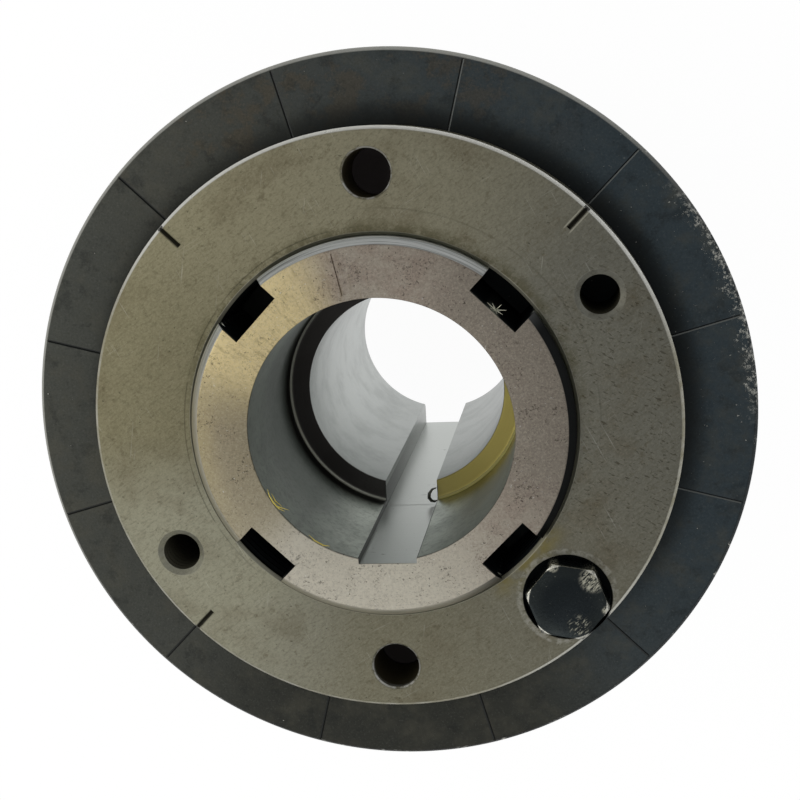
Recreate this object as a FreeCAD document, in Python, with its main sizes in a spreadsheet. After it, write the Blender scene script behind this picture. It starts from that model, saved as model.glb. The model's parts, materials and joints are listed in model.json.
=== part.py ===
"""Safety clutch: a ratcheting ball-detent torque limiter with a graduated adjusting nut.

The frame is the clutch's own. The axis is +Z, the origin is the centre of the hub's rear face,
and the adjusting nut is at the top. Lengths are in millimetres and angles in degrees.
"""
import FreeCAD, Part
import os

import Sketcher

doc = FreeCAD.newDocument("SafetyClutch")
sheet = doc.addObject("Spreadsheet::Sheet", "Sizes")

SIZES = {
    # Hub: a turned shaft sleeve with a key seat, driven by the shaft
    "hub_projection": 2.0,
    "hub_diameter": 52.0,
    "hub_rim_chamfer": 1.1,
    "bore_diameter": 30.0,
    "bore_chamfer": 0.6,
    "counterbore_diameter": 36.0,
    "counterbore_depth": 28.0,
    "keyway_width": 8.0,
    "keyway_angle": 270.0,
    "keyway_depth": 3.3,
    "collar_step": 0.15,
    "collar_length": 9.0,
    "collar_chamfer": 1.0,
    "seat_overrun": 4.0,
    "slot_count": 4.0,
    "slot_angle": 45.0,
    "slot_width": 8.0,
    "slot_floor_radius": 22.1,
    "slot_length": 48.0,
    # Thin deep-groove bearing that lets the output flange turn on the hub
    "bearing_bore": 55.0,
    "bearing_outside": 72.0,
    "bearing_width": 9.0,
    "bearing_ball_diameter": 5.5,
    "bearing_ball_count": 16.0,
    "race_clearance": 0.05,
    "race_shoulder_gap": 3.2,
    "cage_thickness": 2.3,
    "cage_height": 6.6,
    "cage_clearance": 0.12,
    "seal_thickness": 0.6,
    "seal_inset": 0.2,
    # Snap rings that hold the bearing
    "hub_ring_thickness": 2.0,
    "hub_ring_depth": 1.5,
    "hub_ring_height": 2.9,
    "flange_ring_thickness": 2.5,
    "flange_ring_depth": 1.5,
    "flange_ring_height": 3.4,
    "ring_opening": 9.0,
    "ring_lug_radius": 2.3,
    "ring_lug_hole": 1.0,
    # Output flange: the driven member, with a pilot and a tapped bolt circle at the rear
    "clutch_diameter": 100.0,
    "flange_rear_gap": 2.0,
    "flange_length": 34.0,
    "flange_chamfer": 1.0,
    "flange_disc_thickness": 14.0,
    "flange_sleeve_wall": 3.98,
    "flange_neck_chamfer": 1.5,
    "pilot_diameter": 84.0,
    "pilot_length": 4.0,
    "bearing_shoulder_height": 2.5,
    "output_bolt_circle": 92.0,
    "output_bolt_count": 8.0,
    "output_bolt_core": 4.2,
    "output_bolt_depth": 12.0,
    # Hardened detent ring with conical pockets, and the balls that drive through it
    "detent_thickness": 6.0,
    "detent_rim": 5.0,
    "detent_web": 7.0,
    "detent_count": 8.0,
    "detent_circle": 72.0,
    "drive_ball_diameter": 10.0,
    "engagement": 2.0,
    "flank_angle": 30.0,
    "pocket_clearance": 0.02,
    "pocket_floor_gap": 0.3,
    "detent_screw_offset": 2.0,
    "detent_screw_count": 4.0,
    "detent_screw_angle": 22.5,
    "detent_screw_thread": 4.0,
    "detent_screw_head": 7.6,
    "detent_screw_clearance": 0.15,
    "detent_screw_length": 13.0,
    "screw_hole_overrun": 1.0,
    "detent_screw_socket": 2.5,
    "detent_dowel_count": 2.0,
    "detent_dowel_angle": 67.5,
    "detent_dowel_diameter": 5.0,
    "detent_dowel_length": 14.0,
    # Pressure ring: slides on the hub, is keyed to it and holds the balls
    "pressure_gap": 2.0,
    "pressure_thickness": 12.0,
    "pressure_diameter": 92.0,
    "pressure_chamfer": 1.5,
    "trip_step": 3.0,
    "trip_step_height": 5.0,
    "ball_bore_clearance": 0.05,
    # Spring pack between the pressure ring and the graduated ring
    "washer_thickness": 2.5,
    "washer_outside": 88.0,
    "spring_count": 4.0,
    "spring_bore_clearance": 0.5,
    "spring_outside": 86.0,
    "spring_cone": 1.0,
    "spring_thickness": 2.0,
    # Graduated ring: keyed to the hub, pushed along it by the adjusting nut
    "index_thickness": 12.0,
    "index_chamfer": 0.5,
    "index_rear_taper": 4.0,
    "index_recess_diameter": 76.6,
    "index_recess_depth": 6.5,
    "graduation_count": 12.0,
    "graduation_angle": 15.0,
    "graduation_width": 0.5,
    "graduation_depth": 0.3,
    "key_side_clearance": 0.05,
    "key_floor_clearance": 0.3,
    # Adjusting nut on the hub's thread
    "nut_diameter": 80.0,
    "nut_edge_chamfer": 0.4,
    "nut_height": 5.5,
    "nut_gap": 0.3,
    "nut_boss_diameter": 76.0,
    "nut_bore_chamfer": 0.5,
    "nut_hole_circle": 68.0,
    "wrench_hole_count": 2.0,
    "wrench_hole_angle": 90.0,
    "wrench_hole_diameter": 6.4,
    "wrench_hole_depth": 9.0,
    "tapped_hole_count": 2.0,
    "tapped_hole_angle": 30.0,
    "tapped_hole_core": 5.0,
    "tapped_hole_sink": 6.8,
    "index_mark_count": 4.0,
    "index_mark_angle": 45.0,
    "index_mark_length": 3.7,
    "index_mark_width": 0.5,
    "index_mark_depth": 0.3,
    # Hexagon bolt that locks the nut against the graduated ring
    "lock_bolt_angle": 315.0,
    "lock_bolt_thread": 6.0,
    "lock_bolt_flats": 10.0,
    "lock_bolt_head": 4.0,
    "lock_bolt_head_chamfer": 0.45,
    "lock_bolt_turn": 14.0,
    "lock_recess_diameter": 12.2,
    "lock_recess_depth": 2.0,
    "lock_bolt_tip_gap": 0.1,
    # Fits
    "running_clearance": 0.05,
    "seat_clearance": 0.02,
    # How far a cut reaches past the surface that it opens
    "cut_overrun": 1.0,
}

for row, (alias, number) in enumerate(SIZES.items(), start=1):
    sheet.set("A%d" % row, alias.replace("_", " "))
    sheet.set("B%d" % row, "%g" % number)
    sheet.setAlias("B%d" % row, alias)
doc.recompute()


def size(alias):
    """Expression for one cell of the sheet."""
    return "Sizes.%s" % alias


def half(alias):
    """Expression for half of one cell, such as the radius of a diameter."""
    return "Sizes.%s / 2" % alias


def number(expression):
    """Present value of an expression on the sheet."""
    return float(sheet.evalExpression(expression))


def count(alias):
    """A whole number from the sheet."""
    return int(round(number(size(alias))))


# Levels along the axis, each one stacked on the pieces below it
collar_top = size("collar_length")
bearing_top = collar_top + " + Sizes.bearing_width"
bearing_middle = collar_top + " + Sizes.bearing_width / 2"
hub_ring_top = bearing_top + " + Sizes.hub_ring_thickness"
seat_top = hub_ring_top + " + Sizes.seat_overrun"
flange_rear = size("flange_rear_gap")
pilot_top = flange_rear + " + Sizes.pilot_length"
flange_front = flange_rear + " + Sizes.flange_length"
detent_rear = flange_front + " - Sizes.detent_thickness"
ball_level = flange_front + " + Sizes.drive_ball_diameter / 2 - Sizes.engagement"
pressure_rear = flange_front + " + Sizes.pressure_gap"
pressure_front = pressure_rear + " + Sizes.pressure_thickness"
washer_front = pressure_front + " + Sizes.washer_thickness"
spring_height = "(Sizes.spring_cone + Sizes.spring_thickness)"
index_rear = washer_front + " + Sizes.spring_count * " + spring_height
index_front = index_rear + " + Sizes.index_thickness"
nut_seat = index_front + " - Sizes.index_recess_depth"
nut_flange_rear = index_front + " + Sizes.nut_gap"
nut_front = index_front + " + Sizes.nut_height"
lock_floor = nut_front + " - Sizes.lock_recess_depth"
hub_front = nut_front + " + Sizes.hub_projection"

# The drive ball and its conical pocket: the flank is tangent to the ball, less a clearance
ball_radius = half("drive_ball_diameter")
pocket_depth = "(Sizes.engagement + Sizes.pocket_floor_gap)"
pocket_rim_radius = ("((%s + Sizes.pocket_clearance) - (%s - Sizes.engagement) * "
                     "cos(Sizes.flank_angle)) / sin(Sizes.flank_angle)" % (ball_radius, ball_radius))
pocket_floor_radius = "%s - %s / tan(Sizes.flank_angle)" % (pocket_rim_radius, pocket_depth)

# Radii that more than one piece shares
hub_radius = half("hub_diameter")
sliding_radius = hub_radius + " + Sizes.running_clearance"
spring_inner_radius = hub_radius + " + Sizes.spring_bore_clearance"
bearing_inner_radius = half("bearing_bore")
bearing_outer_radius = half("bearing_outside")
bearing_pitch_radius = "(Sizes.bearing_bore + Sizes.bearing_outside) / 4"
inner_race_radius = bearing_pitch_radius + " - Sizes.race_shoulder_gap / 2"
outer_race_radius = bearing_pitch_radius + " + Sizes.race_shoulder_gap / 2"
detent_screw_radius = half("detent_circle") + " + Sizes.detent_screw_offset"
detent_outer_radius = detent_screw_radius + " + Sizes.detent_rim"
collar_radius = inner_race_radius + " - Sizes.collar_step"
key_tip_radius = "Sizes.slot_floor_radius + Sizes.key_floor_clearance"
key_half_width = "(Sizes.slot_width / 2 - Sizes.key_side_clearance)"


def new_body(label):
    """Empty sub-part, which is named after its piece."""
    body = doc.addObject("PartDesign::Body", label)
    body.Label = label
    return body


def origin_feature(body, role):
    """One of a sub-part's own base planes or axes."""
    for feature in body.Origin.OriginFeatures:
        if feature.Role == role:
            return feature
    raise ValueError(role)


def new_sketch(body, name, plane, level="0", turn="0"):
    """Sketch on a base plane, raised to a level and turned about the plane's normal."""
    sketch = body.newObject("Sketcher::SketchObject", body.Label + "_" + name)
    sketch.AttachmentSupport = [(origin_feature(body, plane), "")]
    sketch.MapMode = "FlatFace"
    sketch.setExpression("AttachmentOffset.Base.z", level)
    sketch.setExpression("AttachmentOffset.Rotation.Angle", turn)
    return sketch


def place_point(sketch, geometry, position, across, up):
    """Tie a point of the sketch to its two coordinates."""
    for kind, axis, expression in (("DistanceX", -2, across), ("DistanceY", -1, up)):
        if expression == "0":
            sketch.addConstraint(Sketcher.Constraint("PointOnObject", geometry, position, axis))
            continue
        if number(expression) < 0:
            expression = "-(%s)" % expression
            ends = (geometry, position, -1, 1)
        else:
            ends = (-1, 1, geometry, position)
        index = sketch.addConstraint(Sketcher.Constraint(kind, *ends, number(expression)))
        sketch.setExpression("Constraints[%d]" % index, expression)


def closed_outline(sketch, corners):
    """Closed outline of straight edges whose corners are tied to the sheet."""
    points = [FreeCAD.Vector(number(across), number(up), 0) for across, up in corners]
    for start, end in zip(points, points[1:] + points[:1]):
        sketch.addGeometry(Part.LineSegment(start, end), False)
    last = len(points) - 1
    for index in range(len(points)):
        sketch.addConstraint(Sketcher.Constraint("Coincident", index - 1 if index else last, 2,
                                                 index, 1))
        place_point(sketch, index, 1, *corners[index])
    return sketch


def circle_outline(sketch, across, radius):
    """Circle on the sketch's own X axis."""
    centre = FreeCAD.Vector(number(across), 0, 0)
    sketch.addGeometry(Part.Circle(centre, FreeCAD.Vector(0, 0, 1), number(radius)), False)
    place_point(sketch, 0, 3, across, "0")
    index = sketch.addConstraint(Sketcher.Constraint("Radius", 0, number(radius)))
    sketch.setExpression("Constraints[%d]" % index, radius)
    return sketch


def slot_outline(sketch, inner, outer, half_width):
    """Rectangle along the sketch's X axis, from one radius to another."""
    corners = [(inner, "-(%s)" % half_width), (outer, "-(%s)" % half_width),
               (outer, half_width), (inner, half_width)]
    return closed_outline(sketch, corners)


def turn_profile(body, name, corners):
    """Piece turned about the axis from a profile of (radius, level) corners."""
    sketch = closed_outline(new_sketch(body, name + "_profile", "XZ_Plane"), corners)
    feature = body.newObject("PartDesign::Revolution", body.Label + "_" + name)
    feature.Profile = sketch
    feature.ReferenceAxis = (sketch, ["V_Axis"])
    feature.Angle = 360.0
    sketch.Visibility = False
    return feature


def pocket_down(body, name, sketch, depth):
    """Cut the sketch downwards from its level."""
    feature = body.newObject("PartDesign::Pocket", body.Label + "_" + name)
    feature.Profile = sketch
    feature.Type = "Length"
    feature.setExpression("Length", depth)
    return feature


def pad_up(body, name, sketch, height):
    """Raise the sketch upwards from its level."""
    feature = body.newObject("PartDesign::Pad", body.Label + "_" + name)
    feature.Profile = sketch
    feature.Type = "Length"
    feature.setExpression("Length", height)
    return feature


def cone_cut(body, name, carrier, across, upper_radius, lower_radius, depth):
    """Conical cut below a sketch's level, at a distance along that sketch's X axis."""
    cone = body.newObject("PartDesign::SubtractiveCone", body.Label + "_" + name)
    cone.AttachmentSupport = [(carrier, "")]
    cone.MapMode = "ObjectXY"
    cone.setExpression("AttachmentOffset.Base.x", across)
    cone.setExpression("AttachmentOffset.Base.z", "-(%s)" % depth)
    cone.setExpression("Radius1", lower_radius)
    cone.setExpression("Radius2", upper_radius)
    cone.setExpression("Height", depth)
    return cone


def round_axis(body, name, feature, occurrences):
    """Repeat a feature evenly about the clutch's axis."""
    pattern = body.newObject("PartDesign::PolarPattern", body.Label + "_" + name)
    pattern.Originals = [feature]
    pattern.Axis = (origin_feature(body, "Z_Axis"), [""])
    pattern.Angle = 360.0
    pattern.setExpression("Occurrences", occurrences)
    body.Tip = pattern
    return pattern


def hub_keys(body, level, height):
    """Four keys inside a ring, which slide in the hub's slots."""
    sketch = new_sketch(body, "key_profile", "XY_Plane", level, size("slot_angle"))
    slot_outline(sketch, key_tip_radius, hub_radius + " + Sizes.cut_overrun", key_half_width)
    key = pad_up(body, "key", sketch, height)
    return round_axis(body, "keys", key, size("slot_count"))


def round_group(label, makers):
    """Several separate solids of one kind, as one sub-part."""
    group = doc.addObject("Part::Compound", label)
    group.Label = label
    group.Links = makers
    return group


def place_round(item, radius, turn, index, total, level):
    """Put one item of a group at a radius from the axis, by expressions on its placement."""
    angle = "(%s + %d * 360 / %s)" % (turn, index, total)
    item.setExpression("Placement.Base.x", "(%s) * cos(%s)" % (radius, angle))
    item.setExpression("Placement.Base.y", "(%s) * sin(%s)" % (radius, angle))
    item.setExpression("Placement.Base.z", level)


def ball_group(label, diameter, radius, total, level):
    """Balls spaced evenly on a circle."""
    balls = []
    for index in range(count(total)):
        ball = doc.addObject("Part::Sphere", "%s_%d" % (label, index + 1))
        ball.setExpression("Radius", half(diameter))
        place_round(ball, radius, "0", index, size(total), level)
        balls.append(ball)
    return round_group(label, balls)


def linked_group(label, master, radius, turn, total, level):
    """Copies of one fastener spaced evenly on a circle."""
    links = []
    for index in range(count(total)):
        link = doc.addObject("App::Link", "%s_%d" % (label, index + 1))
        link.LinkedObject = master
        place_round(link, radius, turn, index, size(total), level)
        links.append(link)
    return round_group(label, links)


def make_hub():
    """Sleeve with rear collar, bearing seat, snap-ring groove, thread zone and slots."""
    body = new_body("hub")
    groove_radius = bearing_inner_radius + " - Sizes.hub_ring_depth"
    bore = half("bore_diameter")
    counterbore = half("counterbore_diameter")
    shoulder = hub_front + " - Sizes.counterbore_depth"
    turn_profile(body, "blank", [
        (bore + " + Sizes.bore_chamfer", "0"),
        (collar_radius + " - Sizes.collar_chamfer", "0"),
        (collar_radius, size("collar_chamfer")),
        (collar_radius, collar_top),
        (bearing_inner_radius, collar_top),
        (bearing_inner_radius, bearing_top),
        (groove_radius, bearing_top),
        (groove_radius, hub_ring_top),
        (bearing_inner_radius, hub_ring_top),
        (bearing_inner_radius, seat_top),
        (hub_radius, seat_top),
        (hub_radius, hub_front + " - Sizes.hub_rim_chamfer"),
        (hub_radius + " - Sizes.hub_rim_chamfer", hub_front),
        (counterbore, hub_front),
        (counterbore, shoulder),
        (bore, shoulder),
        (bore, size("bore_chamfer")),
    ])
    keyway = new_sketch(body, "keyway_profile", "XY_Plane", hub_front, size("keyway_angle"))
    slot_outline(keyway, bore + " / 2", bore + " + Sizes.keyway_depth", half("keyway_width"))
    pocket_down(body, "keyway", keyway, hub_front)
    slot = new_sketch(body, "slot_profile", "XY_Plane", hub_front, size("slot_angle"))
    slot_outline(slot, size("slot_floor_radius"), hub_radius + " + Sizes.cut_overrun", half("slot_width"))
    cut = pocket_down(body, "slot", slot, size("slot_length"))
    round_axis(body, "slots", cut, size("slot_count"))
    return body


def make_race(label, race_radius, wall_radius):
    """Bearing ring with the ball track cut into it."""
    blank = doc.addObject("PartDesign::Body", label + "_blank")
    turn_profile(blank, "ring", [
        (race_radius, collar_top), (wall_radius, collar_top),
        (wall_radius, bearing_top), (race_radius, bearing_top)])
    track = doc.addObject("Part::Torus", label + "_track")
    track.setExpression("Radius1", bearing_pitch_radius)
    track.setExpression("Radius2", half("bearing_ball_diameter") + " + Sizes.race_clearance")
    track.setExpression("Placement.Base.z", bearing_middle)
    ring = doc.addObject("Part::Cut", label)
    ring.Label = label
    ring.Base = blank
    ring.Tool = track
    return ring


def make_bearing_cage():
    """Thin ring with one round window for each bearing ball."""
    body = new_body("bearing_cage")
    inner = bearing_pitch_radius + " - Sizes.cage_thickness / 2"
    outer = bearing_pitch_radius + " + Sizes.cage_thickness / 2"
    low = bearing_middle + " - Sizes.cage_height / 2"
    high = bearing_middle + " + Sizes.cage_height / 2"
    turn_profile(body, "ring", [(inner, low), (outer, low), (outer, high), (inner, high)])
    window = body.newObject("PartDesign::SubtractiveCylinder", "bearing_cage_window")
    window.AttachmentSupport = [(origin_feature(body, "YZ_Plane"), "")]
    window.MapMode = "FlatFace"
    window.setExpression("AttachmentOffset.Base.y", bearing_middle)
    window.setExpression("Radius", half("bearing_ball_diameter") + " + Sizes.cage_clearance")
    window.setExpression("Height", size("bearing_outside"))
    round_axis(body, "windows", window, size("bearing_ball_count"))
    return body


def make_seal(label, low):
    """Flat seal between the two bearing rings, held in the outer one."""
    body = new_body(label)
    inner = inner_race_radius + " + Sizes.running_clearance"
    high = low + " + Sizes.seal_thickness"
    turn_profile(body, "disc", [(inner, low), (outer_race_radius, low),
                                (outer_race_radius, high), (inner, high)])
    return body


def make_snap_ring(label, inner, outer, lug_circle, low, thickness):
    """Open spring ring with two drilled lugs beside its opening."""
    body = new_body(label)
    high = low + " + " + thickness
    turn_profile(body, "ring", [(inner, low), (outer, low), (outer, high), (inner, high)])
    for name, side in (("left", 1), ("right", -1)):
        angle = "%d * 2 * Sizes.ring_opening" % side
        lug = new_sketch(body, name + "_lug_profile", "XY_Plane", low, angle)
        circle_outline(lug, lug_circle, size("ring_lug_radius"))
        pad_up(body, name + "_lug", lug, thickness)
    opening = new_sketch(body, "opening_profile", "XY_Plane", high)
    slot_outline(opening, inner + " - 2 * Sizes.ring_lug_radius",
                 outer + " + 2 * Sizes.ring_lug_radius",
                 "(%s) * sin(Sizes.ring_opening)" % lug_circle)
    pocket_down(body, "opening", opening, thickness)
    for name, side in (("left", 1), ("right", -1)):
        angle = "%d * 2 * Sizes.ring_opening" % side
        hole = new_sketch(body, name + "_hole_profile", "XY_Plane", high, angle)
        circle_outline(hole, lug_circle, size("ring_lug_hole"))
        pocket_down(body, name + "_hole", hole, thickness)
    return body


def make_output_flange():
    """Driven member: pilot and bolt circle behind, bearing seat and detent seat inside."""
    body = new_body("output_flange")
    outer = half("clutch_diameter")
    disc_top = pilot_top + " + Sizes.flange_disc_thickness"
    groove_radius = bearing_outer_radius + " + Sizes.flange_ring_depth"
    groove_rear = collar_top + " - Sizes.flange_ring_thickness"
    shoulder_radius = bearing_outer_radius + " - Sizes.bearing_shoulder_height"
    seat_radius = detent_outer_radius + " + Sizes.seat_clearance"
    sleeve = seat_radius + " + Sizes.flange_sleeve_wall"
    pilot = half("pilot_diameter")
    turn_profile(body, "blank", [
        (bearing_outer_radius, flange_rear),
        (pilot + " - Sizes.flange_chamfer", flange_rear),
        (pilot, flange_rear + " + Sizes.flange_chamfer"),
        (pilot, pilot_top),
        (outer + " - Sizes.flange_chamfer", pilot_top),
        (outer, pilot_top + " + Sizes.flange_chamfer"),
        (outer, disc_top + " - Sizes.flange_chamfer"),
        (outer + " - Sizes.flange_chamfer", disc_top),
        (sleeve + " + Sizes.flange_neck_chamfer", disc_top),
        (sleeve, disc_top + " + Sizes.flange_neck_chamfer"),
        (sleeve, flange_front + " - Sizes.flange_chamfer"),
        (sleeve + " - Sizes.flange_chamfer", flange_front),
        (seat_radius, flange_front),
        (seat_radius, detent_rear),
        (shoulder_radius, detent_rear),
        (shoulder_radius, bearing_top),
        (bearing_outer_radius, bearing_top),
        (bearing_outer_radius, collar_top),
        (groove_radius, collar_top),
        (groove_radius, groove_rear),
        (bearing_outer_radius, groove_rear),
    ])
    core = new_sketch(body, "bolt_hole_profile", "XY_Plane",
                      pilot_top + " + Sizes.output_bolt_depth")
    circle_outline(core, half("output_bolt_circle"), half("output_bolt_core"))
    hole = pocket_down(body, "bolt_hole", core, "Sizes.output_bolt_depth + Sizes.cut_overrun")
    round_axis(body, "bolt_holes", hole, size("output_bolt_count"))
    screw = new_sketch(body, "screw_hole_profile", "XY_Plane", detent_rear,
                       size("detent_screw_angle"))
    circle_outline(screw, detent_screw_radius, half("detent_screw_thread"))
    hole = pocket_down(body, "screw_hole", screw,
                       "Sizes.detent_screw_length - Sizes.detent_thickness"
                       " + Sizes.screw_hole_overrun")
    round_axis(body, "screw_holes", hole, size("detent_screw_count"))
    dowel = new_sketch(body, "dowel_hole_profile", "XY_Plane", detent_rear,
                       size("detent_dowel_angle"))
    circle_outline(dowel, detent_screw_radius, half("detent_dowel_diameter"))
    hole = pocket_down(body, "dowel_hole", dowel,
                       "Sizes.detent_dowel_length - Sizes.detent_thickness")
    round_axis(body, "dowel_holes", hole, size("detent_dowel_count"))
    return body


def make_detent_ring():
    """Hardened ring with conical pockets, countersunk holes and dowel holes."""
    body = new_body("detent_ring")
    inner = half("detent_circle") + " - Sizes.detent_web"
    outer = detent_outer_radius
    turn_profile(body, "blank", [(inner, detent_rear), (outer, detent_rear),
                                 (outer, flange_front), (inner, flange_front)])
    face = new_sketch(body, "dowel_hole_profile", "XY_Plane", flange_front,
                      size("detent_dowel_angle"))
    circle_outline(face, detent_screw_radius, half("detent_dowel_diameter"))
    hole = pocket_down(body, "dowel_hole", face, size("detent_thickness"))
    round_axis(body, "dowel_holes", hole, size("detent_dowel_count"))
    screw = new_sketch(body, "screw_hole_profile", "XY_Plane", flange_front,
                       size("detent_screw_angle"))
    circle_outline(screw, detent_screw_radius,
                   half("detent_screw_thread") + " + Sizes.detent_screw_clearance")
    hole = pocket_down(body, "screw_hole", screw, size("detent_thickness"))
    round_axis(body, "screw_holes", hole, size("detent_screw_count"))
    sink = cone_cut(body, "screw_sink", screw, detent_screw_radius,
                    half("detent_screw_head") + " + Sizes.detent_screw_clearance",
                    half("detent_screw_thread") + " + Sizes.detent_screw_clearance",
                    "(Sizes.detent_screw_head - Sizes.detent_screw_thread) / 2")
    round_axis(body, "screw_sinks", sink, size("detent_screw_count"))
    mouth = new_sketch(body, "pocket_place", "XY_Plane", flange_front)
    cone = cone_cut(body, "pocket", mouth, half("detent_circle"), pocket_rim_radius,
                    pocket_floor_radius, pocket_depth)
    round_axis(body, "pockets", cone, size("detent_count"))
    return body


def make_detent_screws():
    """Countersunk socket screws, flush with the detent ring's face."""
    master = doc.addObject("PartDesign::Body", "detent_screw_master")
    shank = half("detent_screw_thread") + " - Sizes.seat_clearance"
    head = half("detent_screw_head") + " - Sizes.seat_clearance"
    head_height = "(Sizes.detent_screw_head - Sizes.detent_screw_thread) / 2"
    top = size("detent_screw_length")
    turn_profile(master, "blank", [("0", "0"), (shank, "0"), (shank, top + " - " + head_height),
                                   (head, top), ("0", top)])
    socket = new_sketch(master, "socket_profile", "XY_Plane", top)
    hexagon_outline(socket, size("detent_screw_socket"))
    pocket_down(master, "socket", socket, head_height)
    return linked_group("detent_ring_screws", master, detent_screw_radius,
                        size("detent_screw_angle"), "detent_screw_count",
                        flange_front + " - Sizes.detent_screw_length")


def make_detent_dowels():
    """Dowel pins that take the torque between the detent ring and the flange."""
    master = doc.addObject("Part::Cylinder", "detent_dowel_master")
    master.setExpression("Radius", half("detent_dowel_diameter") + " - Sizes.seat_clearance")
    master.setExpression("Height", size("detent_dowel_length"))
    return linked_group("detent_ring_dowels", master, detent_screw_radius,
                        size("detent_dowel_angle"), "detent_dowel_count",
                        flange_front + " - Sizes.detent_dowel_length")


def hexagon_outline(sketch, flats):
    """Hexagon about the sketch's origin, with one corner on its X axis."""
    corner = "(%s) / 2 / cos(30)" % flats
    near = "(%s) / 2 * tan(30)" % flats
    side = "(%s) / 2" % flats
    return closed_outline(sketch, [
        (corner, "0"), (near, side), ("-" + near, side),
        ("-" + corner, "0"), ("-" + near, "-" + side), (near, "-" + side)])


def make_pressure_ring():
    """Sliding ring: keys inside, ball bores in its rear face, a trip step on its rim."""
    body = new_body("pressure_ring")
    outer = half("pressure_diameter")
    turn_profile(body, "blank", [
        (sliding_radius, pressure_rear),
        (outer + " - Sizes.trip_step", pressure_rear),
        (outer + " - Sizes.trip_step", pressure_rear + " + Sizes.trip_step_height"),
        (outer, pressure_rear + " + Sizes.trip_step_height"),
        (outer, pressure_front + " - Sizes.pressure_chamfer"),
        (outer + " - Sizes.pressure_chamfer", pressure_front),
        (sliding_radius, pressure_front),
    ])
    hub_keys(body, pressure_rear, size("pressure_thickness"))
    bore = new_sketch(body, "ball_bore_profile", "XY_Plane",
                      ball_level + " + Sizes.drive_ball_diameter / 2")
    circle_outline(bore, half("detent_circle"),
                   half("drive_ball_diameter") + " + Sizes.ball_bore_clearance")
    hole = pocket_down(body, "ball_bore", bore, size("drive_ball_diameter"))
    round_axis(body, "ball_bores", hole, size("detent_count"))
    return body


def make_thrust_washer():
    """Hardened washer under the spring pack."""
    body = new_body("thrust_washer")
    turn_profile(body, "disc", [
        (spring_inner_radius, pressure_front), (half("washer_outside"), pressure_front),
        (half("washer_outside"), washer_front), (spring_inner_radius, washer_front)])
    return body


def make_cup_spring(index):
    """One cup spring, turned over at every second place in the pack."""
    body = doc.addObject("PartDesign::Body", "cup_spring_%d" % (index + 1))
    low = washer_front + " + %d * %s" % (index, spring_height)
    raised = low + " + Sizes.spring_cone"
    inner, outer = spring_inner_radius, half("spring_outside")
    if index % 2:
        inner, outer = outer, inner
    turn_profile(body, "disc", [
        (inner, low), (outer, raised), (outer, raised + " + Sizes.spring_thickness"),
        (inner, low + " + Sizes.spring_thickness")])
    return body


def make_index_ring():
    """Graduated ring: keys inside, a recess for the nut's boss, twelve engraved lines."""
    body = new_body("index_ring")
    outer = half("clutch_diameter")
    recess = half("index_recess_diameter")
    turn_profile(body, "blank", [
        (sliding_radius, index_rear),
        (outer + " - Sizes.index_rear_taper", index_rear),
        (outer, index_rear + " + Sizes.index_rear_taper"),
        (outer, index_front + " - Sizes.index_chamfer"),
        (outer + " - Sizes.index_chamfer", index_front),
        (recess, index_front),
        (recess, nut_seat),
        (sliding_radius, nut_seat),
    ])
    hub_keys(body, index_rear, "Sizes.index_thickness - Sizes.index_recess_depth")
    line = new_sketch(body, "graduation_profile", "XY_Plane", index_front,
                      size("graduation_angle"))
    slot_outline(line, half("nut_diameter"), outer + " + Sizes.cut_overrun", half("graduation_width"))
    cut = pocket_down(body, "graduation", line, size("graduation_depth"))
    round_axis(body, "graduations", cut, size("graduation_count"))
    return body


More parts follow.
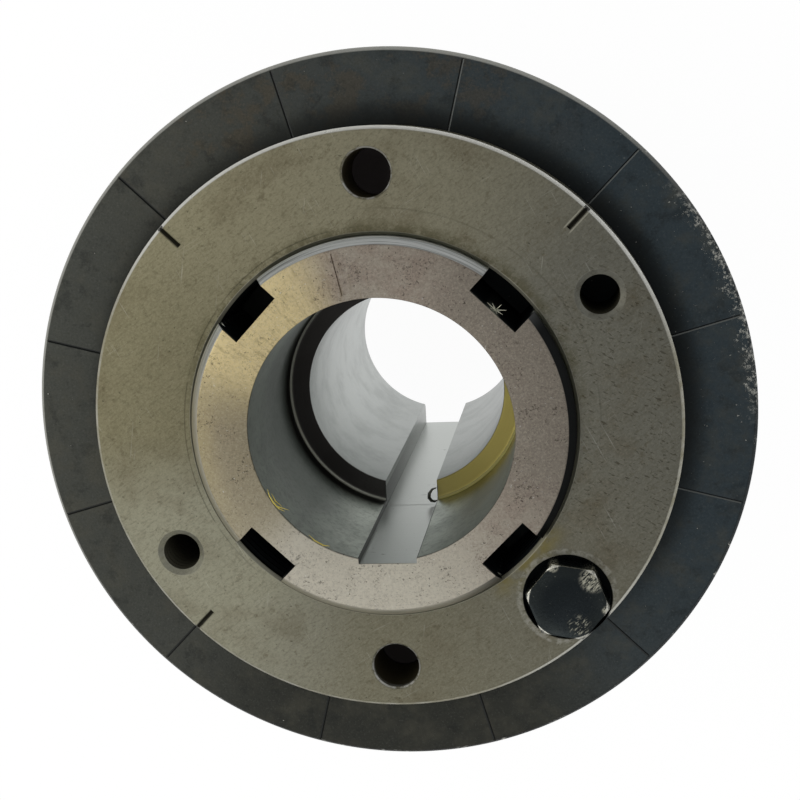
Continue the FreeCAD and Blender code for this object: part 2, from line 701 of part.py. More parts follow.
def make_adjusting_nut():
    """Flanged nut with wrench holes, tapped holes, index marks and the lock bolt's recess."""
    body = new_body("adjusting_nut")
    outer = half("nut_diameter")
    boss = half("nut_boss_diameter")
    circle = half("nut_hole_circle")
    height = "Sizes.nut_height + Sizes.index_recess_depth"
    turn_profile(body, "blank", [
        (sliding_radius + " + Sizes.nut_bore_chamfer", nut_seat),
        (boss, nut_seat),
        (boss, nut_flange_rear),
        (outer, nut_flange_rear),
        (outer, nut_front + " - Sizes.nut_edge_chamfer"),
        (outer + " - Sizes.nut_edge_chamfer", nut_front),
        (sliding_radius + " + Sizes.nut_bore_chamfer", nut_front),
        (sliding_radius, nut_front + " - Sizes.nut_bore_chamfer"),
        (sliding_radius, nut_seat + " + Sizes.nut_bore_chamfer"),
    ])
    wrench = new_sketch(body, "wrench_hole_profile", "XY_Plane", nut_front,
                        size("wrench_hole_angle"))
    circle_outline(wrench, circle, half("wrench_hole_diameter"))
    hole = pocket_down(body, "wrench_hole", wrench, size("wrench_hole_depth"))
    round_axis(body, "wrench_holes", hole, size("wrench_hole_count"))
    tapped = new_sketch(body, "tapped_hole_profile", "XY_Plane", nut_front,
                        size("tapped_hole_angle"))
    circle_outline(tapped, circle, half("tapped_hole_core"))
    hole = pocket_down(body, "tapped_hole", tapped, height)
    round_axis(body, "tapped_holes", hole, size("tapped_hole_count"))
    sink = cone_cut(body, "tapped_sink", tapped, circle, half("tapped_hole_sink"),
                    half("tapped_hole_core"), "(Sizes.tapped_hole_sink - Sizes.tapped_hole_core) / 2")
    round_axis(body, "tapped_sinks", sink, size("tapped_hole_count"))
    mark = new_sketch(body, "index_mark_profile", "XY_Plane", nut_front,
                      size("index_mark_angle"))
    slot_outline(mark, outer + " - Sizes.index_mark_length", outer + " + Sizes.cut_overrun",
                 half("index_mark_width"))
    cut = pocket_down(body, "index_mark", mark, size("index_mark_depth"))
    round_axis(body, "index_marks", cut, size("index_mark_count"))
    bolt = new_sketch(body, "lock_hole_profile", "XY_Plane", nut_front, size("lock_bolt_angle"))
    circle_outline(bolt, circle, half("lock_bolt_thread") + " + Sizes.seat_clearance")
    pocket_down(body, "lock_hole", bolt, height)
    recess = new_sketch(body, "lock_recess_profile", "XY_Plane", nut_front,
                        size("lock_bolt_angle"))
    circle_outline(recess, circle, half("lock_recess_diameter"))
    pocket_down(body, "lock_recess", recess, size("lock_recess_depth"))
    return body


def make_locking_bolt():
    """Hexagon bolt whose tip bears on the graduated ring inside the nut's boss."""
    body = new_body("locking_bolt")
    circle = half("nut_hole_circle")
    head = new_sketch(body, "head_profile", "XY_Plane", "0", size("lock_bolt_turn"))
    hexagon_outline(head, size("lock_bolt_flats"))
    pad_up(body, "head", head, size("lock_bolt_head"))
    beyond = "Sizes.lock_bolt_flats / 2 / cos(30) + Sizes.cut_overrun"
    flat = "Sizes.lock_bolt_flats / 2 - Sizes.lock_bolt_head_chamfer"
    crown = closed_outline(new_sketch(body, "crown_profile", "XZ_Plane"), [
        (flat, size("lock_bolt_head")),
        (beyond, size("lock_bolt_head")),
        (beyond, "Sizes.lock_bolt_head - (%s - (%s)) * tan(30)" % (beyond, flat)),
    ])
    cut = body.newObject("PartDesign::Groove", "locking_bolt_crown")
    cut.Profile = crown
    cut.ReferenceAxis = (crown, ["V_Axis"])
    cut.Angle = 360.0
    shank_length = "(%s) - (%s) - Sizes.lock_bolt_tip_gap" % (lock_floor, nut_seat)
    shank = new_sketch(body, "shank_profile", "XY_Plane", "-(%s)" % shank_length)
    circle_outline(shank, "0", half("lock_bolt_thread"))
    pad_up(body, "shank", shank, shank_length)
    body.setExpression("Placement.Base.x", "%s * cos(Sizes.lock_bolt_angle)" % circle)
    body.setExpression("Placement.Base.y", "%s * sin(Sizes.lock_bolt_angle)" % circle)
    body.setExpression("Placement.Base.z", lock_floor)
    return body


def build_clutch():
    """Every sub-part, from the shaft outwards and upwards."""
    rear_seal = collar_top + " + Sizes.seal_inset"
    front_seal = bearing_top + " - Sizes.seal_inset - Sizes.seal_thickness"
    hub_ring_inner = bearing_inner_radius + " - Sizes.hub_ring_depth"
    flange_ring_outer = bearing_outer_radius + " + Sizes.flange_ring_depth"
    return [
        make_hub(),
        make_race("bearing_inner_ring", inner_race_radius, bearing_inner_radius),
        make_race("bearing_outer_ring", outer_race_radius, bearing_outer_radius),
        make_bearing_cage(),
        ball_group("bearing_balls", "bearing_ball_diameter", bearing_pitch_radius,
                   "bearing_ball_count", bearing_middle),
        make_seal("rear_bearing_seal", rear_seal),
        make_seal("front_bearing_seal", front_seal),
        make_snap_ring("hub_snap_ring", hub_ring_inner, hub_ring_inner + " + Sizes.hub_ring_height",
                       hub_ring_inner + " + Sizes.ring_lug_radius", bearing_top,
                       size("hub_ring_thickness")),
        make_snap_ring("flange_snap_ring",
                       flange_ring_outer + " - Sizes.flange_ring_height", flange_ring_outer,
                       flange_ring_outer + " - Sizes.ring_lug_radius - Sizes.flange_ring_depth",
                       collar_top + " - Sizes.flange_ring_thickness",
                       size("flange_ring_thickness")),
        make_output_flange(),
        make_detent_ring(),
        make_detent_screws(),
        make_detent_dowels(),
        ball_group("drive_balls", "drive_ball_diameter", half("detent_circle"),
                   "detent_count", ball_level),
        make_pressure_ring(),
        make_thrust_washer(),
        round_group("cup_springs", [make_cup_spring(i) for i in range(count("spring_count"))]),
        make_index_ring(),
        make_adjusting_nut(),
        make_locking_bolt(),
    ]


parts = build_clutch()
doc.recompute()

for item in doc.Objects:
    if "Invalid" in item.State or "Error" in item.State:
        raise RuntimeError("%s did not compute: %s" % (item.Name, item.getStatusString()))
for part in parts:
    if part.Shape.isNull() or not part.Shape.isValid():
        raise RuntimeError("%s has no valid shape" % part.Label)

os.makedirs("parts", exist_ok=True)
for part in parts:
    part.Shape.exportStep("parts/%s.step" % part.Label)
    print("%-20s %3d solid(s) %10.1f mm3" % (part.Label, len(part.Shape.Solids), part.Shape.Volume))
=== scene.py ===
"""Looks of the safety clutch.

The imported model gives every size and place. This script builds the pieces that show with fine
edges, threads and engraving, gives every piece its finish, and sets the light and the camera.
Lengths are in millimetres until a mesh is made, and levels are heights above the hub's rear face.
"""

import json
import logging
import math
from collections.abc import Sequence
from dataclasses import dataclass
from enum import Enum

import bmesh
import bpy
from mathutils import Matrix, Vector


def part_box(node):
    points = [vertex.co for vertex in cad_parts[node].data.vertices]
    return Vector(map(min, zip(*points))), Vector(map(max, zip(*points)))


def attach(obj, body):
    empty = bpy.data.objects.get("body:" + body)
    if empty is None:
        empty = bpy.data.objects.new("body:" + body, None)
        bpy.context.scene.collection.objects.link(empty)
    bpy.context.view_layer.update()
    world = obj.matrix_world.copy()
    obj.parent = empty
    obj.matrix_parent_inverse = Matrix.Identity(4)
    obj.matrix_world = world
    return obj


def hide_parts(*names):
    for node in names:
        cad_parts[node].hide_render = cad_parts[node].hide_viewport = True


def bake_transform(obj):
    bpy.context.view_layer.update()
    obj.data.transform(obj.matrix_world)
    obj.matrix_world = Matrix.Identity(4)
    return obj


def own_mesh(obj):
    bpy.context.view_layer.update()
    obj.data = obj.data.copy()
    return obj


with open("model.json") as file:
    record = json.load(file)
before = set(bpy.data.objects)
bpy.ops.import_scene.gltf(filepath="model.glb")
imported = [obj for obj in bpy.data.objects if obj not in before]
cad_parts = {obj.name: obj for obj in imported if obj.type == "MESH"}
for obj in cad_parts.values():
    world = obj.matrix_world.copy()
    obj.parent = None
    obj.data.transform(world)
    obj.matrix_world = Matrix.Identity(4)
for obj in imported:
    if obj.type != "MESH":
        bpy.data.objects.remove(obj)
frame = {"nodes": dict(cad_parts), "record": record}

log = logging.getLogger("safety_clutch")

MM = 0.001
SEGMENTS = 288
HOLE_SEGMENTS = 64
EASE_STEPS = 3
SHARP_ANGLE = math.radians(28.0)
BLADE_OVERRUN = 1.0

# Sockets of the colour Mix node
MIX_BASE, MIX_OVER, MIX_RESULT = 6, 7, 2

Socket = bpy.types.NodeSocket
Colour = tuple[float, float, float]
Place = tuple[float, float, float]
Layer = tuple["Value", Socket | Colour]


class Body(Enum):
    """The rigid groups of the clutch."""

    HUB = "hub_side"
    INDEX = "index_side"
    NUT = "nut_side"
    PRESSURE = "pressure_side"
    FLANGE = "flange_side"
    CAGE = "bearing_cage_side"


def colour(red: int, green: int, blue: int) -> Colour:
    """Scene colour of a tone as the eye reads it, from 0 to 255 a channel."""
    def linear(level: int) -> float:
        share = level / 255.0
        return share / 12.92 if share <= 0.04045 else ((share + 0.055) / 1.055) ** 2.4
    return linear(red), linear(green), linear(blue)


def top_of(node: str) -> float:
    """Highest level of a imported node, in millimetres."""
    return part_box(node)[1].z / MM


def bottom_of(node: str) -> float:
    """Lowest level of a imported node, in millimetres."""
    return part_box(node)[0].z / MM


def radius_of(node: str) -> float:
    """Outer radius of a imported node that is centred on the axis, in millimetres."""
    low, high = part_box(node)
    return (high.x - low.x) / 2 / MM


def mount_radius(name: str) -> float:
    """Radius of one of the record's round mounts, in millimetres."""
    for mount in frame["record"]["mounts"]:
        if mount["name"] == name:
            return mount["dims"]["r_mm"]
    raise KeyError(name)


# Turned and cut meshes


@dataclass(frozen=True)
class Corner:
    """One corner of a turned profile.

    Attributes:
        radius: Distance from the axis.
        level: Height of the corner.
        ease: Length taken off each side of the corner to round it.
    """

    radius: float
    level: float
    ease: float = 0.0


def eased(corners: Sequence[Corner]) -> list[tuple[float, float]]:
    """Profile points with the eased corners rounded.

    Args:
        corners: The profile's corners in order, as a closed loop.

    Returns:
        The points (radius, level) of the rounded profile.
    """
    points: list[tuple[float, float]] = []
    for index, corner in enumerate(corners):
        here = Vector((corner.radius, corner.level))
        if not corner.ease:
            points.append(tuple(here))
            continue
        before = corners[index - 1]
        after = corners[(index + 1) % len(corners)]
        start = here + corner.ease * (Vector((before.radius, before.level)) - here).normalized()
        end = here + corner.ease * (Vector((after.radius, after.level)) - here).normalized()
        for step in range(EASE_STEPS + 1):
            share = step / EASE_STEPS
            point = start * (1 - share) ** 2 + here * 2 * share * (1 - share) + end * share ** 2
            points.append(tuple(point))
    return points


def thread_points(crest: float, root: float, low: float, high: float,
                  pitch: float) -> list[Corner]:
    """Zigzag of a fine thread, from its low end to its high end.

    Args:
        crest: Radius that the thread starts and ends on.
        root: Radius of the grooves.
        low: Level where the thread starts.
        high: Level where it ends.
        pitch: Distance from one groove to the next.

    Returns:
        The corners of the threaded stretch.
    """
    flat = pitch / 8
    flank = (pitch - 2 * flat) / 2
    corners: list[Corner] = []
    for turn in range(int((high - low) / pitch)):
        start = low + turn * pitch
        corners += [Corner(crest, start), Corner(root, start + flank),
                    Corner(root, start + flank + flat), Corner(crest, start + 2 * flank + flat)]
    return corners


def new_object(name: str, build: bmesh.types.BMesh) -> bpy.types.Object:
    """Object at the origin from a mesh in millimetres, with its faces pointing outwards."""
    bmesh.ops.remove_doubles(build, verts=build.verts, dist=1e-6)
    bmesh.ops.recalc_face_normals(build, faces=build.faces)
    bmesh.ops.scale(build, vec=(MM, MM, MM), verts=build.verts)
    mesh = bpy.data.meshes.new(name)
    build.to_mesh(mesh)
    build.free()
    item = bpy.data.objects.new(name, mesh)
    bpy.context.scene.collection.objects.link(item)
    return item


def turned(name: str, corners: Sequence[Corner], segments: int = SEGMENTS) -> bpy.types.Object:
    """Solid of revolution about the axis from a closed profile.

    Args:
        name: Name of the object.
        corners: The profile's corners; two of them may lie on the axis.
        segments: Number of steps round the axis.

    Returns:
        The new object.
    """
    build = bmesh.new()
    rings = []
    for radius, level in eased(corners):
        if radius < 1e-6:
            pole = build.verts.new((0, 0, level))
            rings.append([pole] * segments)
            continue
        rings.append([build.verts.new((radius * math.cos(math.tau * step / segments),
                                       radius * math.sin(math.tau * step / segments), level))
                      for step in range(segments)])
    for index, ring in enumerate(rings):
        following = rings[(index + 1) % len(rings)]
        for step in range(segments):
            beside = (step + 1) % segments
            loop = [ring[step], ring[beside], following[beside], following[step]]
            loop = list(dict.fromkeys(loop))
            if len(loop) > 2:
                build.faces.new(loop)
    return new_object(name, build)


def prism(name: str, outline: Sequence[tuple[float, float]], low: float,
          high: float) -> bpy.types.Object:
    """Upright prism over a closed outline of (x, y) points."""
    build = bmesh.new()
    lower = [build.verts.new((x, y, low)) for x, y in outline]
    upper = [build.verts.new((x, y, high)) for x, y in outline]
    build.faces.new(lower[::-1])
    build.faces.new(upper)
    for index in range(len(outline)):
        beside = (index + 1) % len(outline)
        build.faces.new((lower[index], lower[beside], upper[beside], upper[index]))
    return new_object(name, build)


def bar(name: str, inner: float, outer: float, width: float, low: float,
        high: float) -> bpy.types.Object:
    """Straight bar along +X, for a slot, a keyway or a key."""
    half = width / 2
    return prism(name, [(inner, -half), (outer, -half), (outer, half), (inner, half)], low, high)


def engraver(name: str, inner: float, outer: float, width: float, face: float,
             depth: float) -> bpy.types.Object:
    """V-shaped cutter along +X that engraves a line in a level face."""
    build = bmesh.new()
    spread = width / 2 * (1 + BLADE_OVERRUN / depth)
    ends = [[build.verts.new((along, across, level)) for across, level in
             ((0.0, face - depth), (spread, face + BLADE_OVERRUN), (-spread, face + BLADE_OVERRUN))]
            for along in (inner, outer)]
    build.faces.new(ends[0][::-1])
    build.faces.new(ends[1])
    for index in range(3):
        beside = (index + 1) % 3
        build.faces.new((ends[0][index], ends[0][beside], ends[1][beside], ends[1][index]))
    return new_object(name, build)


def placed(item: bpy.types.Object, circle: float = 0.0,
           turn: float = 0.0) -> bpy.types.Object:
    """Moves a mesh out to a circle, then turns it about the axis.

    Args:
        item: The object, which stays at the origin itself.
        circle: Distance to move along +X.
        turn: Angle about the axis in degrees.

    Returns:
        The same object.
    """
    shift = Matrix.Translation((circle * MM, 0, 0))
    item.data.transform(Matrix.Rotation(math.radians(turn), 4, "Z") @ shift)
    return item


def flattened(item: bpy.types.Object) -> bpy.types.Object:
    """Applies an object's modifiers and leaves a plain mesh."""
    graph = bpy.context.evaluated_depsgraph_get()
    mesh = bpy.data.meshes.new_from_object(item.evaluated_get(graph))
    old = item.data
    item.modifiers.clear()
    item.data = mesh
    bpy.data.meshes.remove(old)
    return item


def combined(item: bpy.types.Object, operation: str,
             tools: Sequence[bpy.types.Object]) -> bpy.types.Object:
    """Cuts, joins or crosses an object with others, which are used up.

    Args:
        item: The object that is worked on.
        operation: DIFFERENCE, UNION or INTERSECT.
        tools: The other objects.

    Returns:
        The worked object.
    """
    for tool in tools:
        modifier = item.modifiers.new(tool.name, "BOOLEAN")
        modifier.operation = operation
        modifier.solver = "EXACT"
        modifier.object = tool
    flattened(item)
    for tool in tools:
        bpy.data.objects.remove(tool)
    return item


def flat_faced(item: bpy.types.Object) -> bpy.types.Object:
    """Merges the faces of a mesh that lie in one plane."""
    build = bmesh.new()
    build.from_mesh(item.data)
    bmesh.ops.dissolve_limit(build, angle_limit=math.radians(0.5), verts=build.verts,
                             edges=build.edges)
    build.to_mesh(item.data)
    build.free()
    return item


class RoundArray:
    """Geometry Nodes tree that repeats a mesh evenly about the clutch's axis."""

    def __init__(self) -> None:
        """Builds the tree once, for every piece that uses it."""
        tree = bpy.data.node_groups.new("round_array", "GeometryNodeTree")
        self.tree = tree
        sockets = {}
        for name, kind in (("Geometry", "NodeSocketGeometry"), ("Count", "NodeSocketInt"),
                           ("Start", "NodeSocketFloat"), ("Material", "NodeSocketMaterial")):
            sockets[name] = tree.interface.new_socket(name, in_out="INPUT", socket_type=kind)
        self.sockets = {name: socket.identifier for name, socket in sockets.items()}
        tree.interface.new_socket("Geometry", in_out="OUTPUT", socket_type="NodeSocketGeometry")
        given = tree.nodes.new("NodeGroupInput")
        result = tree.nodes.new("NodeGroupOutput")
        points = tree.nodes.new("GeometryNodeMeshLine")
        points.inputs["Offset"].default_value = (0.0, 0.0, 0.0)
        place = tree.nodes.new("GeometryNodeInstanceOnPoints")
        index = tree.nodes.new("GeometryNodeInputIndex")
        share = self._maths("DIVIDE", index.outputs[0], given.outputs["Count"])
        turn = self._maths("MULTIPLY", share, math.tau)
        angle = self._maths("ADD", turn, given.outputs["Start"])
        about = tree.nodes.new("ShaderNodeCombineXYZ")
        realize = tree.nodes.new("GeometryNodeRealizeInstances")
        paint = tree.nodes.new("GeometryNodeSetMaterial")
        for start, end in (
                (given.outputs["Count"], points.inputs["Count"]),
                (angle, about.inputs["Z"]),
                (points.outputs[0], place.inputs["Points"]),
                (given.outputs["Geometry"], place.inputs["Instance"]),
                (about.outputs[0], place.inputs["Rotation"]),
                (place.outputs[0], realize.inputs[0]),
                (realize.outputs[0], paint.inputs["Geometry"]),
                (given.outputs["Material"], paint.inputs["Material"]),
                (paint.outputs[0], result.inputs[0])):
            tree.links.new(start, end)

    def _maths(self, operation: str, left: Socket, right: Socket | float) -> Socket:
        """One Math node of the tree."""
        node = self.tree.nodes.new("ShaderNodeMath")
        node.operation = operation
        self.tree.links.new(left, node.inputs[0])
        if isinstance(right, float):
            node.inputs[1].default_value = right
        else:
            self.tree.links.new(right, node.inputs[1])
        return node.outputs[0]

    def repeat(self, item: bpy.types.Object, count: int, start: float = 0.0,
               material: bpy.types.Material | None = None) -> bpy.types.Object:
        """Repeats an object's mesh about the axis.

        Args:
            item: The object, whose mesh lies where the copy at angle 0 belongs.
            count: Number of copies in a full turn.
            start: Angle of the first copy in degrees.
            material: Finish of the copies.

        Returns:
            The same object with a plain mesh of all the copies.
        """
        modifier = item.modifiers.new("round_array", "NODES")
        modifier.node_group = self.tree
        modifier[self.sockets["Count"]] = count
        modifier[self.sockets["Start"]] = math.radians(start)
        modifier[self.sockets["Material"]] = material
        return flattened(item)


def joined(name: str, items: Sequence[bpy.types.Object]) -> bpy.types.Object:
    """Several objects as one piece."""
    first = items[0]
    first.name = name
    with bpy.context.temp_override(active_object=first, selected_editable_objects=list(items)):
        bpy.ops.object.join()
    return first


# Shader expressions


class Value:
    """A number that varies over a surface, with arithmetic written as Python."""

    def __init__(self, shader: "Shader", socket: Socket) -> None:
        """Wraps an output socket of the shader's tree."""
        self.shader = shader
        self.socket = socket

    def _maths(self, operation: str, *others: "Value | float", swap: bool = False) -> "Value":
        """Result of one Math node, with the operands swapped for the reflected forms."""
        operands = [self, *others]
        if swap:
            operands.reverse()
        node = self.shader.add("ShaderNodeMath", {"operation": operation},
                               dict(enumerate(operands)))
        return Value(self.shader, node.outputs[0])

    def __add__(self, other: "Value | float") -> "Value":
        """Sum."""
        return self._maths("ADD", other)

    __radd__ = __add__

    def __sub__(self, other: "Value | float") -> "Value":
        """Difference."""
        return self._maths("SUBTRACT", other)

    def __rsub__(self, other: float) -> "Value":
        """Difference from a number."""
        return self._maths("SUBTRACT", other, swap=True)

    def __mul__(self, other: "Value | float") -> "Value":
        """Product."""
        return self._maths("MULTIPLY", other)

    __rmul__ = __mul__

    def __truediv__(self, other: "Value | float") -> "Value":
        """Quotient."""
        return self._maths("DIVIDE", other)

    def __abs__(self) -> "Value":
        """Size without sign."""
        return self._maths("ABSOLUTE")

    def least(self, other: "Value | float") -> "Value":
        """Smaller of two."""
        return self._maths("MINIMUM", other)

    def most(self, other: "Value | float") -> "Value":
        """Larger of two."""
        return self._maths("MAXIMUM", other)

    def root(self) -> "Value":
        """Square root."""
        return self._maths("SQRT")

    def sine(self) -> "Value":
        """Sine of an angle in radians."""
        return self._maths("SINE")

    def angle_over(self, across: "Value") -> "Value":
        """Angle in radians whose tangent is this over another."""
        return self._maths("ARCTAN2", across)

    def rise(self, low: float, high: float) -> "Value":
        """Smooth step from 0 at low to 1 at high; low may be the larger."""
        node = self.shader.add("ShaderNodeMapRange", {"interpolation_type": "SMOOTHSTEP"},
                               {"Value": self, "From Min": low, "From Max": high})
        return Value(self.shader, node.outputs["Result"])

    def within(self, low: float, high: float, soft: float) -> "Value":
        """1 between low and high, falling to 0 over a soft edge on each side."""
        return self.rise(low - soft, low + soft) * self.rise(high + soft, high - soft)


class Shader:
    """A material whose pattern reads the piece's own object coordinates."""

    def __init__(self, name: str) -> None:
        """Makes an empty material with a Principled surface."""
        self.material = bpy.data.materials.new(name)
        self.material.use_nodes = True
        self.tree = self.material.node_tree
        self.surface = self.tree.nodes["Principled BSDF"]
        self.place = self.add("ShaderNodeTexCoord").outputs["Object"]
        split = self.add("ShaderNodeSeparateXYZ", {}, {0: self.place})
        self.x, self.y, self.z = (Value(self, output) * (1 / MM) for output in split.outputs)
        self.radius = (self.x * self.x + self.y * self.y).root()

    def add(self, kind: str, settings: dict | None = None,
            inputs: dict | None = None) -> bpy.types.Node:
        """Adds a node.

        Args:
            kind: The node's type name.
            settings: Its own properties, set before the inputs.
            inputs: Values, sockets or expressions by input name or number.

        Returns:
            The new node.
        """
        node = self.tree.nodes.new(kind)
        for key, setting in (settings or {}).items():
            setattr(node, key, setting)
        self.feed(node, inputs or {})
        return node

    def feed(self, node: bpy.types.Node, inputs: dict) -> None:
        """Gives a node its values, sockets or expressions, by input name or number."""
        for key, given in inputs.items():
            given = given.socket if isinstance(given, Value) else given
            if isinstance(given, bpy.types.NodeSocket):
                self.tree.links.new(given, node.inputs[key])
            else:
                node.inputs[key].default_value = given

    def vector(self, x: Value | float, y: Value | float, z: Value | float) -> Socket:
        """Vector of three values."""
        return self.add("ShaderNodeCombineXYZ", {}, {0: x, 1: y, 2: z}).outputs[0]

    def noise(self, scale: float, detail: float = 2.0, rough: float = 0.5,
              at: Socket | None = None) -> Value:
        """Noise from 0 to 1; scale counts its features across one millimetre."""
        where = at or self.vector(self.x, self.y, self.z)
        node = self.add("ShaderNodeTexNoise", {}, {"Vector": where, "Scale": scale,
                                                   "Detail": detail, "Roughness": rough})
        return Value(self, node.outputs[0])

    def lathe_marks(self, fineness: float) -> Value:
        """Fine rings left by turning, on faces and on round walls alike."""
        where = self.vector(self.radius * fineness, self.z * fineness, self.angle_share() * 2)
        return self.noise(1.0, 3.0, 0.6, where)

    def angle_share(self) -> Value:
        """Position round the axis as a slow wave that has no seam."""
        return self.x / self.radius + self.y / self.radius * 0.7

    def wave(self, count: int, degrees: float) -> Value:
        """Sine of the angle past the nearest of some evenly spaced lines, one at an angle."""
        turn = self.y.angle_over(self.x)
        return (turn * float(count) - math.radians(degrees) * count).sine()

    def towards(self, degrees: float, full: float, fade: float) -> Value:
        """1 on one side of the axis, within an angle, fading out at a wider angle."""
        turn = math.radians(degrees)
        across = (self.x * math.cos(turn) + self.y * math.sin(turn)) / self.radius
        return across.rise(math.cos(math.radians(fade)), math.cos(math.radians(full)))

    def distance(self, circle: float, degrees: float) -> Value:
        """Distance in plan from a point on a circle about the axis."""
        turn = math.radians(degrees)
        along = self.x - circle * math.cos(turn)
        across = self.y - circle * math.sin(turn)
        return (along * along + across * across).root()

    def pair(self, circle: float, degrees: float) -> Value:
        """Distance in plan from the nearer of two opposite points on a circle."""
        return self.distance(circle, degrees).least(self.distance(circle, degrees + 180))

    def off_diagonals(self) -> Value:
        """Distance in plan from the nearer of the two lines at 45 degrees to X."""
        share = math.sqrt(0.5)
        return abs((self.x - self.y) * share).least(abs((self.x + self.y) * share))

    def slanted(self, slant: float, along: float, across: float) -> Socket:
        """Place on slanted axes, scaled along each, for grain that runs one way."""
        return self.vector((self.x + self.y * slant) * along,
                           (self.y - self.x * slant) * across, self.z)

    def hairs(self, degrees: float, density: float) -> Value:
        """Scratches as thin as a hair, that run in one direction."""
        turn = math.radians(degrees)
        along = self.x * math.cos(turn) + self.y * math.sin(turn)
        across = self.y * math.cos(turn) - self.x * math.sin(turn)
        where = self.vector(along * 0.09, across * 5.0, self.z)
        return self.noise(1.0, 1.0, 0.4, where).rise(1 - density, 1 - density + 0.05)

    def blend(self, share: Value, base: Socket | Colour, over: Socket | Colour) -> Socket:
        """Colour between two, by a share from 0 to 1."""
        sides = {key: given if isinstance(given, bpy.types.NodeSocket) else (*given, 1.0)
                 for key, given in ((MIX_BASE, base), (MIX_OVER, over))}
        node = self.add("ShaderNodeMix", {"data_type": "RGBA"}, {0: share, **sides})
        return node.outputs[MIX_RESULT]

    def layered(self, base: Socket | Colour, *layers: Layer) -> Socket:
        """Colour under layers, each a share and a colour, the lowest layer first."""
        for share, over in layers:
            base = self.blend(share, base, over)
        return base

    def finish(self, tone: Socket, roughness: Value, metal: Value | float, bump: Value,
               depth: float) -> bpy.types.Material:
        """Connects the surface.

        Args:
            tone: Base colour.
            roughness: Roughness.
            metal: Share of bare metal.
            bump: Height pattern from 0 to 1.
            depth: Height of the pattern in millimetres.

        Returns:
            The finished material.
        """
        relief = self.add("ShaderNodeBump", {}, {"Height": bump, "Distance": depth * MM,
                                                 "Strength": 1.0})
        self.feed(self.surface, {"Base Color": tone, "Roughness": roughness, "Metallic": metal,
                                 "Normal": relief.outputs[0]})
        return self.material


# Finishes


